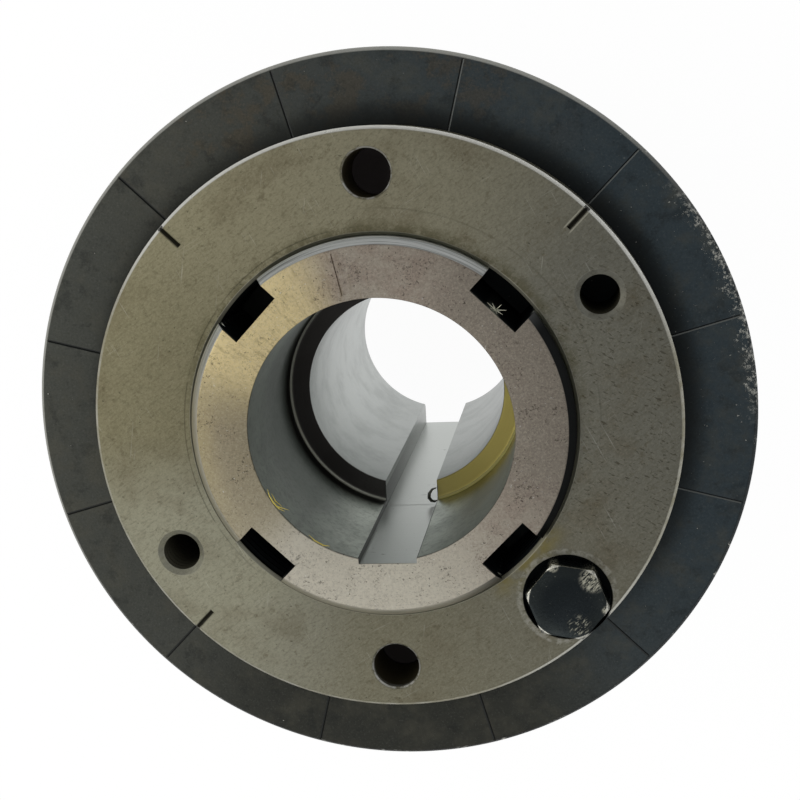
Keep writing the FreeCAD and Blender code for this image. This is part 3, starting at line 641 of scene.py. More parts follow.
@dataclass(frozen=True)
class HubFinish:
    """Bare turned steel with dark specks on its face and smooth bored walls, with painted light and
    shade: slots painted near-black as shade, and side tones and highlights painted on the face, the
    rim and the bore.
    """

    face: Colour = colour(168, 160, 148)
    pink: Colour = colour(150, 134, 124)
    warm_tint_and_highlight: Colour = colour(236, 218, 164)
    pale: Colour = colour(210, 206, 192)
    shade: Colour = colour(138, 131, 121)
    pit_and_shade: Colour = colour(44, 37, 31)
    wall: Colour = colour(214, 219, 210)
    dim: Colour = colour(118, 123, 117)
    olive: Colour = colour(118, 118, 98)
    bore: Colour = colour(178, 182, 179)
    keyway: Colour = colour(186, 190, 186)
    brown: Colour = colour(38, 33, 32)
    gold: Colour = colour(182, 168, 94)
    keyway_side: Colour = colour(150, 153, 150)
    gold_highlight: Colour = colour(255, 248, 176)
    grey_highlight: Colour = colour(206, 206, 198)
    polish_and_highlight: Colour = colour(226, 229, 227)
    shadowed: Colour = colour(34, 35, 35)
    slot_shade: Colour = colour(16, 21, 24)
    drab: Colour = colour(158, 148, 120)
    dirt: Colour = colour(96, 86, 76)
    glint: Colour = colour(230, 222, 202)
    brushed: Colour = colour(120, 104, 66)
    wall_grain: Colour = colour(84, 88, 84)
    bore_shade: Colour = colour(146, 150, 147)
    wall_stain: Colour = colour(92, 98, 94)
    nick: Colour = colour(60, 62, 58)
    side_shade: Colour = colour(82, 85, 82)
    streaked: Colour = colour(112, 116, 114)
    face_level: float = 83.7
    rim_inner: float = 24.8
    slot_floor: float = 22.0
    slot_half: float = 4.1
    slot_end: float = 36.0
    keyway_floor: float = 18.4
    keyway_half: float = 3.95
    keyway_inner: float = 15.25

    def on_the_face(self, s: Shader) -> Socket:
        """Colour of the front face: its tones by side are partly the steel's own tint and partly
        painted light and shade, with a yellow painted highlight at the upper left, painted shade at
        the right and painted pale light at the front.
        """
        brushed = s.noise(1.0, 3.0, 0.7, s.vector(s.radius * 0.35, s.angle_share() * 26, s.z))
        fine = s.noise(4.4, 2.0, 0.6).rise(0.58, 0.66) * s.noise(0.5, 3.0, 0.6).rise(0.36, 0.56)
        large = s.noise(1.7, 3.0, 0.7).rise(0.66, 0.7)
        crowd = s.noise(2.6, 3.0, 0.7).rise(0.57, 0.63) * s.noise(0.3, 2.0, 0.5).rise(0.5, 0.62)
        return s.layered(
            self.face,
            (s.noise(0.3, 4.0, 0.7).rise(0.35, 0.7) * 0.6, self.pink),
            # Painted light and shade by side, partly the steel's own tint: shade at the right, a
            # yellow highlight at the upper left and a thin one at the left rim, pale light at the
            # front, duller at the left.
            (s.towards(20, 30, 56) * 0.8, self.shade),
            (s.towards(140, 14, 40) * 0.8, self.warm_tint_and_highlight),
            (s.towards(190, 6, 30) * s.radius.rise(21.5, 24.5) * 0.7, self.warm_tint_and_highlight),
            (s.towards(252, 24, 74) * 0.85, self.pale),
            (s.towards(192, 16, 40) * 0.75, self.drab),
            (s.noise(2.4, 5.0, 0.75).rise(0.46, 0.62) * 0.16, self.dirt),
            (s.noise(3.2, 4.0, 0.75).rise(0.53, 0.38) * 0.15, self.glint),
            (brushed.rise(0.5, 0.7) * s.towards(130, 20, 50) * 0.3, self.brushed),
            ((fine * 0.3).most(large * 0.8).most(crowd * 0.6), self.pit_and_shade),
            (s.noise(1.9, 3.0, 0.7).rise(0.32, 0.28) * 0.5, self.polish_and_highlight))

    def in_the_bore(self, s: Shader, hub: "Hub") -> Socket:
        """Colour of the counterbore, its shoulder, the bore and the keyway, with painted light and
        shade on the walls, painted shade along edges and a painted highlight on the shoulder's
        fillet.
        """
        shoulder, half, inner = hub.shoulder, self.keyway_half, self.keyway_inner
        back = s.blend(s.towards(-60, 40, 100) * 0.6, self.bore, self.bore_shade)
        golden = s.towards(-40, 32, 55)
        ledge = (s.z.within(shoulder - 0.25, shoulder + 0.75, 0.12)
                 * s.radius.within(hub.bore - 0.3, hub.counterbore + 0.3, 0.1))
        band = s.z.within(shoulder + 0.5, shoulder + 2.8, 0.7) * (1 - golden)
        in_mouth = s.y.rise(-inner, -inner - 0.2)
        cut = (abs(s.x).rise(half + 0.05, half) * in_mouth
               * s.y.rise(-self.keyway_floor - 0.1, -self.keyway_floor))
        nicks = s.noise(1.0, 3.0, 0.7, s.vector(s.x * 0.5, s.y, s.z * 1.6)).rise(0.68, 0.72) * 0.8
        side = abs(s.x).rise(half, half + 0.04) * abs(s.x).rise(half + 0.2, half + 0.1) * in_mouth
        # Painted shade: a broken dark line along the counterbore's edge just below the face, in the
        # same colour as the face's dark specks.
        brink = (s.z.within(self.face_level - 0.12, self.face_level + 0.24, 0.04)
                 * s.radius.rise(hub.counterbore + 0.4, hub.counterbore + 0.1))
        return s.layered(
            self.wall,
            # Painted light and shade on the counterbore wall: darker at the left, olive at the
            # right, lighter towards its mouth.
            (s.towards(170, 55, 84), self.dim),
            (s.towards(-15, 35, 60), self.olive),
            (s.z.rise(shoulder + 12, shoulder + 26) * 0.4, self.wall),
            (s.noise(1.1, 6.0, 0.8).rise(0.47, 0.62) * 0.3, self.wall_grain),
            (s.z.rise(shoulder + 0.4, shoulder - 0.4), back),
            (s.noise(0.16, 4.0, 0.65).rise(0.4, 0.72) * 0.3, self.wall_stain),
            # The shoulder is dark brown, turning gold towards the lower right; the band of wall
            # just above it, away from the gold side, is painted shade in the same dark brown.
            ((ledge * 0.92).most(band * 0.8), s.blend(golden, self.brown, self.gold)),
            # Painted highlight along the fillet: gold at the lower right, grey elsewhere.
            (self.fillet(s, hub), s.blend(golden, self.grey_highlight, self.gold_highlight)),
            (cut, s.blend(nicks, self.keyway, self.nick)),
            (side, s.blend(s.z.rise(60, 20), self.side_shade, self.keyway_side)),
            (brink * s.noise(0.5, 4.0, 0.7).rise(0.36, 0.56) * 0.8, self.pit_and_shade))

    def fillet(self, s: Shader, hub: "Hub") -> Value:
        """1 on the rounded corner between the shoulder and the counterbore's wall."""
        return (s.z.within(hub.shoulder + 0.12, hub.shoulder + 0.62, 0.08)
                * s.radius.rise(hub.counterbore - 0.8, hub.counterbore - 0.6))

    def make(self, hub: "Hub") -> bpy.types.Material:
        """Builds the material.

        Args:
            hub: The hub, for the places of its shoulder and bores.

        Returns:
            The material.
        """
        s = Shader("hub_turned_steel")
        on_face = s.z.rise(self.face_level, self.face_level + 0.15)
        # Painted light on the rim's chamfer: pale painted light, painted shadow at the right and a
        # streaky painted highlight at the top; the same bright colour also marks real nicks on the
        # face.
        streak = s.noise(1.0, 4.0, 0.7, s.vector(s.radius * 5, s.z * 5, s.angle_share() * 1.6))
        lit = s.towards(104, 34, 74)
        shine = s.layered(self.pale, (s.towards(0, 40, 75), self.shadowed), (lit, self.polish_and_highlight),
                          (streak.rise(0.42, 0.62) * lit * 0.75, self.streaked))
        rim = (s.radius.rise(self.rim_inner, self.rim_inner + 0.12)
               * s.z.rise(self.face_level + 0.27, self.face_level + 0.2)
               * s.z.rise(hub.front - 1.5, hub.front - 1.2))
        # Painted shade: the slots are painted near-black, as the shade down the deep slots.
        in_slot = (s.off_diagonals().rise(self.slot_half, self.slot_half - 0.1)
                   * s.radius.rise(self.slot_floor, self.slot_floor + 0.15)
                   * s.z.rise(self.face_level + 0.15, self.face_level - 0.4)
                   * s.z.rise(self.slot_end - 0.4, self.slot_end))
        tone = s.layered(self.on_the_face(s), (1 - on_face, self.in_the_bore(s, hub)),
                         (rim, shine), (in_slot, self.slot_shade))
        grain = s.noise(4.5, 2.0, 0.7) * 0.5 + s.lathe_marks(2.6) * 0.5
        roughness = 0.3 + grain * 0.14 + on_face * 0.16
        # The fillet is made less metallic so that its painted highlight shows.
        metal = 1 - in_slot * 0.7 - self.fillet(s, hub) * 0.6
        return s.finish(tone, roughness, metal, grain, 0.03)


@dataclass(frozen=True)
class NutFinish:
    """Olive-grey steel with fine grain, brown stains, faint hairlines and bright broken edges, with
    painted light and shade by side, a painted highlight on its rim and painted shade in its holes,
    thread and recess.
    """

    face: Colour = colour(142, 137, 110)
    cool: Colour = colour(119, 119, 111)
    light: Colour = colour(162, 157, 132)
    stain: Colour = colour(92, 80, 56)
    bright: Colour = colour(222, 222, 216)
    dark: Colour = colour(66, 61, 48)
    smear: Colour = colour(128, 118, 66)
    hole: Colour = colour(104, 96, 74)
    floor: Colour = colour(58, 54, 54)
    tapped: Colour = colour(70, 68, 56)
    hollow_shade: Colour = colour(24, 28, 29)
    groove: Colour = colour(34, 32, 26)
    silver_light: Colour = colour(168, 167, 148)
    blotch: Colour = colour(88, 78, 56)
    grain_dark: Colour = colour(86, 82, 64)
    grain_light: Colour = colour(190, 184, 160)
    stroke: Colour = colour(84, 78, 58)
    chip: Colour = colour(222, 214, 176)
    oil_ring: Colour = colour(84, 80, 54)
    inner_edge: Colour = colour(178, 176, 160)
    recess_burr: Colour = colour(176, 175, 166)
    countersink: Colour = colour(156, 156, 146)
    mark_edge: Colour = colour(186, 184, 168)

    def ground(self, s: Shader) -> Socket:
        """Colour of the bare face with its grain and stains, and painted light and shade by side.
        """
        grain = s.noise(3.2, 5.0, 0.8)
        strokes = s.noise(1.0, 3.0, 0.6, s.slanted(0.7, 0.8, 2.4))
        return s.layered(
            self.face,
            # Painted light and shade by side: cool grey at the right and front, lighter at the top,
            # silver light at the lower left.
            (s.towards(20, 10, 115) * 0.9, self.cool),
            (s.towards(96, 14, 60) * 0.5, self.light),
            (s.towards(222, 14, 44) * 0.85, self.silver_light),
            (s.towards(276, 20, 50) * 0.45, self.cool),
            (s.noise(0.13, 4.0, 0.6).rise(0.48, 0.7) * 0.3, self.stain),
            (s.noise(0.75, 5.0, 0.7).rise(0.56, 0.7) * 0.4, self.blotch),
            (grain.rise(0.47, 0.64) * 0.22, self.grain_dark),
            (grain.rise(0.5, 0.36) * 0.13, self.grain_light),
            (strokes.rise(0.5, 0.66) * 0.26, self.stroke))

    def wear(self, s: Shader, nut: "AdjustingNut", specks: Value) -> list[Layer]:
        """Specks, flecks, chips, rubbed arcs and the greasy smear beside the bolt."""
        flecks = (s.noise(1.0, 2.0, 0.5, s.slanted(-0.5, 0.9, 2.6)).rise(0.61, 0.66)
                  * s.towards(4, 20, 42))
        chips = s.noise(0.62, 4.0, 0.75).rise(0.765, 0.79)
        around = s.radius.rise(28.6, 26.6) * s.towards(85, 60, 95)
        arcs = (s.radius.within(27.15, 27.3, 0.08) * s.towards(160, 50, 75)).most(
            s.distance(0.9, 60).within(28.6, 28.8, 0.1) * s.towards(45, 35, 60) * 0.5)
        smear = (s.towards(nut.bolt_angle, 6, 16) * s.radius.rise(29.5, 26.6)
                 * s.noise(0.5, 3.0).rise(0.3, 0.6))
        return [((specks * 0.6).most(flecks * 0.6), self.dark),
                (chips * 0.7, self.chip),
                (around * s.noise(0.4, 4.0, 0.7).rise(0.34, 0.6) * 0.6, self.oil_ring),
                (arcs * s.noise(0.3, 3.0).rise(0.34, 0.52) * 0.5, self.dark),
                (smear * 0.8, self.smear)]

    def edges(self, s: Shader, nut: "AdjustingNut", rim: Value) -> list[Layer]:
        """Bright and dull edges of the rim, the bore, the recess and the holes; the rim's
        brightness is a painted highlight, strongest at the top.
        """
        # Painted highlight on the rim's chamfer: bright at the top and beside the bolt, lighter
        # elsewhere.
        shine = (s.towards(84, 50, 78) * 0.85).most(s.towards(312, 8, 24) * 0.5).most(
            s.noise(0.35, 4.0, 0.7).rise(0.36, 0.7) * 0.35)
        wide = nut.bore + nut.bore_chamfer
        inner = s.radius.rise(wide + 0.1, wide) * s.z.rise(nut.front - 1.4, nut.front - 1.0)
        bolt = s.distance(nut.hole_circle, nut.bolt_angle)
        burr = bolt.within(nut.recess_radius, nut.recess_radius + 0.9, 0.16)
        ring = s.pair(nut.hole_circle, nut.wrench_angle).within(
            nut.wrench_radius - 0.02, nut.wrench_radius + 0.2, 0.04)
        sunk = self.sunk(s, nut)
        return [(rim * (1 - shine) * 0.5, self.light), (rim * shine, self.bright),
                (inner * 0.7, self.inner_edge),
                (burr * s.noise(0.9, 4.0, 0.7).rise(0.4, 0.62) * 0.6, self.recess_burr),
                (ring * s.noise(0.5, 4.0, 0.7).rise(0.42, 0.54) * 0.7, self.bright),
                (sunk * s.noise(0.6, 3.0).rise(0.3, 0.6) * 0.4, self.countersink)]

    def sunk(self, s: Shader, nut: "AdjustingNut") -> Value:
        """1 in the tapped holes and their countersinks."""
        return s.pair(nut.hole_circle, nut.tapped_angle).rise(nut.tapped_sink + 0.12,
                                                              nut.tapped_sink)

    def hollows(self, s: Shader, nut: "AdjustingNut") -> list[Layer]:
        """Index marks with their raised edges, holes, thread and recess, with painted shade in the
        holes, the thread and the recess.
        """
        front, half = nut.front, nut.mark_width / 2
        mark_end = nut.radius - nut.mark_length
        bolt = s.distance(nut.hole_circle, nut.bolt_angle)
        nearest = s.off_diagonals()
        marked = (s.z.within(front - nut.mark_depth - 0.1, front - 0.1, 0.05)
                  * nearest.rise(half + 0.1, half) * s.radius.rise(mark_end - 0.5, mark_end)
                  * bolt.rise(nut.recess_radius + 0.2, nut.recess_radius + 0.5))
        raised = (nearest.within(half + 0.02, half + 0.2, 0.05)
                  * s.radius.rise(mark_end - 0.6, mark_end)
                  * s.z.rise(front - 0.06, front - 0.02) * s.towards(nut.mark_angle, 8, 12))
        holes = s.pair(nut.hole_circle, nut.wrench_angle).least(
            s.pair(nut.hole_circle, nut.tapped_angle))
        inside = holes.rise(nut.wrench_radius + 0.4, nut.wrench_radius + 0.2)
        floor, sunk = front - nut.wrench_depth, self.sunk(s, nut)
        # Painted shade: the holes are painted darker inside, darkest towards their floors.
        bottom = s.z.rise(floor + 1.2, floor + 0.7) * (1 - sunk)
        hole = s.blend(bottom, s.blend(sunk, self.hole, self.tapped), self.floor)
        deepest, chamfer_end = nut.bore + nut.thread_depth, front - nut.bore_chamfer
        # Painted shade: the bore's thread and the bolt's recess are painted near-black.
        thread = (s.radius.rise(deepest + 0.3, deepest + 0.1)
                  * s.z.rise(chamfer_end, chamfer_end - 0.3))
        recess = (bolt.rise(nut.recess_radius + 0.2, nut.recess_radius + 0.1)
                  * s.z.rise(front - 0.1, front - 0.3))
        return [(marked * 0.9, self.groove), (raised * 0.7, self.mark_edge),
                (s.z.rise(front - 0.5, front - 1.2) * inside, hole),
                (thread.most(recess), self.hollow_shade)]

    def make(self, nut: "AdjustingNut") -> bpy.types.Material:
        """Builds the material.

        Args:
            nut: The nut, for the places of its edges and holes.

        Returns:
            The material.
        """
        s = Shader("nut_olive_steel")
        patchy = s.noise(0.22, 2.0).rise(0.5, 0.66)
        hair = s.hairs(28, 0.34).most(s.hairs(38, 0.3)) * 0.5
        marks = hair.most(s.hairs(-63, 0.32)).most(s.hairs(80, 0.3)) * patchy
        specks = s.noise(2.1, 2.0, 0.6).rise(0.69, 0.74)
        rim = (s.radius.rise(nut.radius - nut.edge * 1.1, nut.radius - nut.edge * 0.7)
               * s.z.rise(nut.front - nut.edge - 0.2, nut.front - nut.edge))
        tone = s.layered(self.ground(s), (marks * 0.17, self.bright), *self.wear(s, nut, specks),
                         *self.edges(s, nut, rim), *self.hollows(s, nut))
        grain = s.noise(5.0, 3.0, 0.7)
        roughness = 0.44 + grain * 0.16 - marks * 0.1 - rim * 0.2
        return s.finish(tone, roughness, 0.9, grain * 0.8 - marks * 0.4 - specks, 0.02)


@dataclass(frozen=True)
class IndexFinish:
    """Blackened steel, satin and dusty, chipped to bright metal along one stretch of its rim, with
    painted shade by side and from the nut, a painted highlight on the rim at the upper left, and
    engraved lines painted with a shaded groove and a lit side.
    """

    black: Colour = colour(76, 78, 73)
    blue: Colour = colour(60, 71, 77)
    dust: Colour = colour(98, 96, 84)
    brown: Colour = colour(92, 80, 60)
    dark: Colour = colour(30, 33, 33)
    front: Colour = colour(54, 55, 50)
    worn: Colour = colour(206, 206, 198)
    bloom: Colour = colour(120, 122, 116)
    line_shade: Colour = colour(16, 18, 18)
    line_highlight: Colour = colour(150, 154, 152)
    scuff_angle: float = 20.0
    scuff_reach: float = 3.6

    def bare(self, s: Shader, ring: "IndexRing", rim: Value) -> Value:
        """1 where the black is gone: scuffs, nicks, dots and chips; also 1 on a painted highlight
        along the rim at the upper left.
        """
        inward = (ring.radius - s.radius) / self.scuff_reach
        along = (s.towards(self.scuff_angle, 8, 20).most(s.towards(11, 4, 14))
                 * s.z.rise(ring.front - 2.4, ring.front - 1.0))
        ragged = s.noise(1.5, 6.0, 0.85)
        scuffed = ragged.rise(0.5, 0.58) * (ragged - inward * 0.24).rise(0.46, 0.5) * along
        # Painted highlight, not wear: the rim at the upper left, in the bright metal colour.
        lit = s.towards(125, 60, 100) * rim * 0.6
        nicks = rim * s.noise(0.6, 5.0, 0.75).rise(0.58, 0.68) * 0.7
        dots = s.noise(2.2, 3.0, 0.7).rise(0.69, 0.74) * s.towards(self.scuff_angle, 16, 40)
        chips = s.noise(0.9, 3.0, 0.7).rise(0.735, 0.76) * 0.7
        return (scuffed * 0.85).most(nicks).most(dots * 0.6).most(lit).most(chips)

    def make(self, ring: "IndexRing") -> bpy.types.Material:
        """Builds the material.

        Args:
            ring: The graduated ring, for the place of its rim and its lines.

        Returns:
            The material.
        """
        s = Shader("index_black_steel")
        front, chamfer_end = ring.front, ring.front - ring.chamfer
        cloud = s.noise(0.2, 6.0, 0.72)
        smudge = s.noise(0.33, 5.0, 0.7, s.vector(s.x + 40, s.y, s.z)).rise(0.5, 0.68)
        fine = s.noise(3.2, 5.0, 0.8)
        near = s.radius.rise(43.4, 40.2) * s.towards(75, 80, 125)
        rim = (s.radius.rise(ring.radius - 0.6, ring.radius - 0.4)
               * s.z.rise(chamfer_end - 0.25, chamfer_end))
        bare = self.bare(s, ring, rim)
        below = s.z.rise(front - 0.8, front - 1.4)
        beside = s.radius.rise(ring.line_inner + 4.5, ring.line_inner + 1.0) * s.towards(38, 56, 84)
        flat = s.radius.within(ring.line_inner - 0.6, ring.radius - ring.chamfer - 0.15, 0.05)
        cut = s.z.within(front - ring.line_depth - 0.1, front - 0.02, 0.01) * flat
        lit_side = s.wave(ring.line_count, ring.line_angle).rise(0.004, -0.004) * cut
        tone = s.layered(
            self.black,
            # Painted shade by side: bluish and darker at the right, darker at the front.
            (s.towards(20, 30, 110), self.blue),
            (s.towards(268, 14, 46), self.front),
            (cloud.rise(0.44, 0.7) * 0.36, self.dust),
            (cloud.rise(0.52, 0.4) * s.towards(96, 14, 50) * 0.4, self.brown),
            (smudge * 0.4, self.dark),
            (fine.rise(0.48, 0.68) * 0.3, self.dark),
            (fine.rise(0.46, 0.32) * 0.2, self.bloom),
            # Painted shadow of the nut on the face beside it, at the top and the upper right;
            # painted shade on the rim at the right; the outer wall painted darker.
            (near * 0.6, self.dark),
            (rim * s.towards(-10, 60, 90) * 0.6, self.dark),
            ((below * 0.35).most(beside * 0.6), self.dark),
            # Scuffs and chips in bare metal, and the painted highlight on the rim.
            (bare, self.worn),
            # Engraved lines: painted shade in the groove and a painted highlight along one side,
            # stronger at the upper right.
            (cut * 0.85, self.line_shade),
            (lit_side * (s.towards(35, 34, 80) * 0.45 + 0.2), self.line_highlight))
        grain = s.noise(3.6, 3.0, 0.7)
        roughness = 0.4 + cloud * 0.2 + grain * 0.1
        return s.finish(tone, roughness, 0.75, grain * 0.8 - bare, 0.02)


@dataclass(frozen=True)
class BoltFinish:
    """Glossy black bolt steel, bright on worn corners, with a painted highlight along the top edges
    of its head.
    """

    black: Colour = colour(35, 41, 44)
    haze: Colour = colour(60, 65, 63)
    worn: Colour = colour(204, 202, 184)
    edge: Colour = colour(246, 244, 232)

    def make(self, bolt: "LockingBolt") -> bpy.types.Material:
        """Builds the material.

        Args:
            bolt: The bolt, for its place and its size.

        Returns:
            The material.
        """
        s = Shader("bolt_black_steel")
        turn = math.radians(bolt.angle)
        x = s.x - bolt.circle * math.cos(turn)
        y = s.y - bolt.circle * math.sin(turn)
        away = (x * x + y * y).root()
        streaks = s.noise(1.0, 3.0, 0.7, s.vector((x + y) * 0.9, (x - y) * 3.4, s.z))
        ragged = s.noise(2.2, 4.0, 0.75)

        def spot(across: float, up: float, reach: float) -> Value:
            """1 near a worn place of the head, given from its middle."""
            one, other = x - across, y - up
            return (one * one + other * other).root().rise(reach, reach * 0.45)

        corner = spot(3.5, 3.2, 2.2) * streaks.rise(0.44, 0.56)
        front = spot(1.5, -3.3, 1.9) * streaks.rise(0.53, 0.63)
        tip = spot(-1.8, 5.0, 0.9) * ragged.rise(0.4, 0.54)
        side = spot(5.2, -1.2, 0.8) * ragged.rise(0.44, 0.58)
        top = bolt.top
        # Painted highlight along the top edges of the head, broken up and weaker at the corners.
        edge = (s.z.within(top - 0.2, top - 0.015, 0.01) * away.rise(4.0, 4.4)
                * (1 - away.rise(5.35, 5.5) * 0.7))
        lines = edge * (ragged.rise(0.34, 0.56) * 0.55 + 0.3)
        flecks = s.noise(2.6, 3.0, 0.7).rise(0.69, 0.74) * 0.5
        bare = corner.most(front * 0.8).most(tip).most(side).most(flecks)
        hazy = away.rise(2.6, 4.6) * s.noise(0.9, 4.0, 0.7) * 0.7
        tone = s.layered(self.black, (hazy, self.haze), (bare, self.worn), (lines, self.edge))
        return s.finish(tone, 0.18 + ragged * 0.2, 0.85, ragged * 0.5 + bare * 0.8, 0.04)


class Ground(Enum):
    """How a plain steel piece is finished: tone, roughness and the fineness of its marks."""

    BLACKENED = (colour(48, 50, 50), 0.44, 1.6)
    TURNED = (colour(150, 149, 143), 0.36, 2.2)
    HARDENED = (colour(170, 170, 168), 0.28, 3.6)
    SPRING = (colour(66, 66, 66), 0.5, 1.2)
    BEARING = (colour(190, 191, 192), 0.2, 4.0)
    FASTENER = (colour(52, 52, 53), 0.36, 2.4)
    BRASSY = (colour(224, 206, 112), 0.34, 3.0)
    PALE = (colour(226, 226, 204), 0.4, 3.0)


@dataclass(frozen=True)
class SteelFinish:
    """Plain machined steel with turning marks, a faint greasy film and a little dust."""

    name: str
    ground: Ground
    stain: Colour = colour(96, 84, 58)

    def make(self) -> bpy.types.Material:
        """Builds the material."""
        bare, smooth, fineness = self.ground.value
        stain = tuple(level * 0.5 + brown * 0.2 for level, brown in zip(bare, self.stain))
        pale = tuple(min(level * 1.5 + 0.02, 1.0) for level in bare)
        s = Shader(self.name)
        cloud, fine = s.noise(0.14, 4.0, 0.6), s.noise(2.4, 5.0, 0.8)
        marks = s.lathe_marks(fineness)
        tone = s.layered(bare, (cloud.rise(0.46, 0.72) * 0.4, stain),
                         (fine.rise(0.48, 0.66) * 0.25, stain),
                         (fine.rise(0.46, 0.34) * 0.2, pale),
                         (marks.rise(0.5, 0.7) * 0.2, pale))
        return s.finish(tone, smooth + marks * 0.12 + cloud * 0.08, 0.95, marks, 0.015)


@dataclass(frozen=True)
class MouldedFinish:
    """Moulded cage plastic or seal rubber, with a fine matt grain."""

    name: str
    tone: Colour
    roughness: float

    def make(self) -> bpy.types.Material:
        """Builds the material."""
        s = Shader(self.name)
        grain = s.noise(5.0, 2.0, 0.6)
        tone = s.blend(s.noise(0.4, 3.0).rise(0.45, 0.7) * 0.3, self.tone,
                       tuple(level * 0.6 for level in self.tone))
        return s.finish(tone, self.roughness + grain * 0.12, 0.0, grain, 0.01)


# Pieces


def dressed(item: bpy.types.Object, body: Body | None, nodes: Sequence[str],
            material: bpy.types.Material) -> bpy.types.Object:
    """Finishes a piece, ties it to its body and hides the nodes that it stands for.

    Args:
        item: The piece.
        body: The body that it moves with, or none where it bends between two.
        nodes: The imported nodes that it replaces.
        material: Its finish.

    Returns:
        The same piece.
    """
    mesh = item.data
    mesh.materials.clear()
    mesh.materials.append(material)
    mesh.shade_smooth()
    mesh.set_sharp_from_angle(angle=SHARP_ANGLE)
    if body:
        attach(item, body.value)
    if nodes:
        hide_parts(*nodes)
    log.info("%s: %d faces", item.name, len(mesh.polygons))
    return item


@dataclass
class Hub:
    """Keyed sleeve with slots, a thread, a counterbore and a scribed line."""

    array: RoundArray
    rim_chamfer: float = 1.1
    thread_radius: float = 26.0
    thread_depth: float = 0.9
    thread_pitch: float = 1.5
    thread_length: float = 21.0
    slot_width: float = 8.0
    slot_floor: float = 22.1
    slot_length: float = 48.0
    slot_angle: float = 45.0
    keyway_width: float = 8.0
    keyway_depth: float = 3.3
    counterbore_depth: float = 28.0
    seat_radius: float = 27.5
    collar_length: float = 9.0
    groove_low: float = 18.0
    groove_high: float = 20.0
    seat_top: float = 24.0
    scribe_angle: float = 101.7
    scribe_inner: float = 18.8
    scribe_outer: float = 24.5

    @property
    def bore(self) -> float:
        """Radius of the shaft's bore."""
        return mount_radius("shaft_bore")

    @property
    def counterbore(self) -> float:
        """Radius of the front counterbore."""
        return mount_radius("front_counterbore")

    @property
    def front(self) -> float:
        """Level of the hub's front face."""
        return top_of("hub")

    @property
    def shoulder(self) -> float:
        """Level of the counterbore's floor."""
        return self.front - self.counterbore_depth

    def make(self) -> bpy.types.Object:
        """Builds the hub."""
        top = self.front
        bore, counterbore, shoulder = self.bore, self.counterbore, self.shoulder
        collar = radius_of("hub")
        crest = self.thread_radius
        thread_top = top - self.rim_chamfer - 0.1
        thread = thread_points(crest, crest - self.thread_depth, thread_top - self.thread_length,
                               thread_top, self.thread_pitch)
        corners = [
            Corner(bore + 0.6, 0, 0.1), Corner(collar - 1, 0, 0.2), Corner(collar, 1, 0.2),
            Corner(collar, self.collar_length, 0.2), Corner(self.seat_radius, self.collar_length),
            Corner(self.seat_radius, self.groove_low), Corner(crest, self.groove_low),
            Corner(crest, self.groove_high), Corner(self.seat_radius, self.groove_high),
            Corner(self.seat_radius, self.seat_top, 0.2), Corner(crest, self.seat_top),
            *thread,
            Corner(crest, top - self.rim_chamfer, 0.12),
            Corner(crest - self.rim_chamfer, top, 0.15),
            Corner(counterbore, top, 0.12), Corner(counterbore, shoulder, 0.7),
            Corner(bore, shoulder, 0.25), Corner(bore, 0.6, 0.1),
        ]
        hub = turned("hub_sleeve", corners)
        slots = self.array.repeat(
            bar("slots", self.slot_floor, crest + 2, self.slot_width,
                top - self.slot_length, top + BLADE_OVERRUN), 4, self.slot_angle)
        keyway = placed(bar("keyway", bore / 2, bore + self.keyway_depth, self.keyway_width,
                            -BLADE_OVERRUN, top + BLADE_OVERRUN), turn=270)
        scribe = placed(engraver("scribe", self.scribe_inner, self.scribe_outer, 0.16, top, 0.12),
                        turn=self.scribe_angle)
        return combined(hub, "DIFFERENCE", [slots, keyway, scribe])


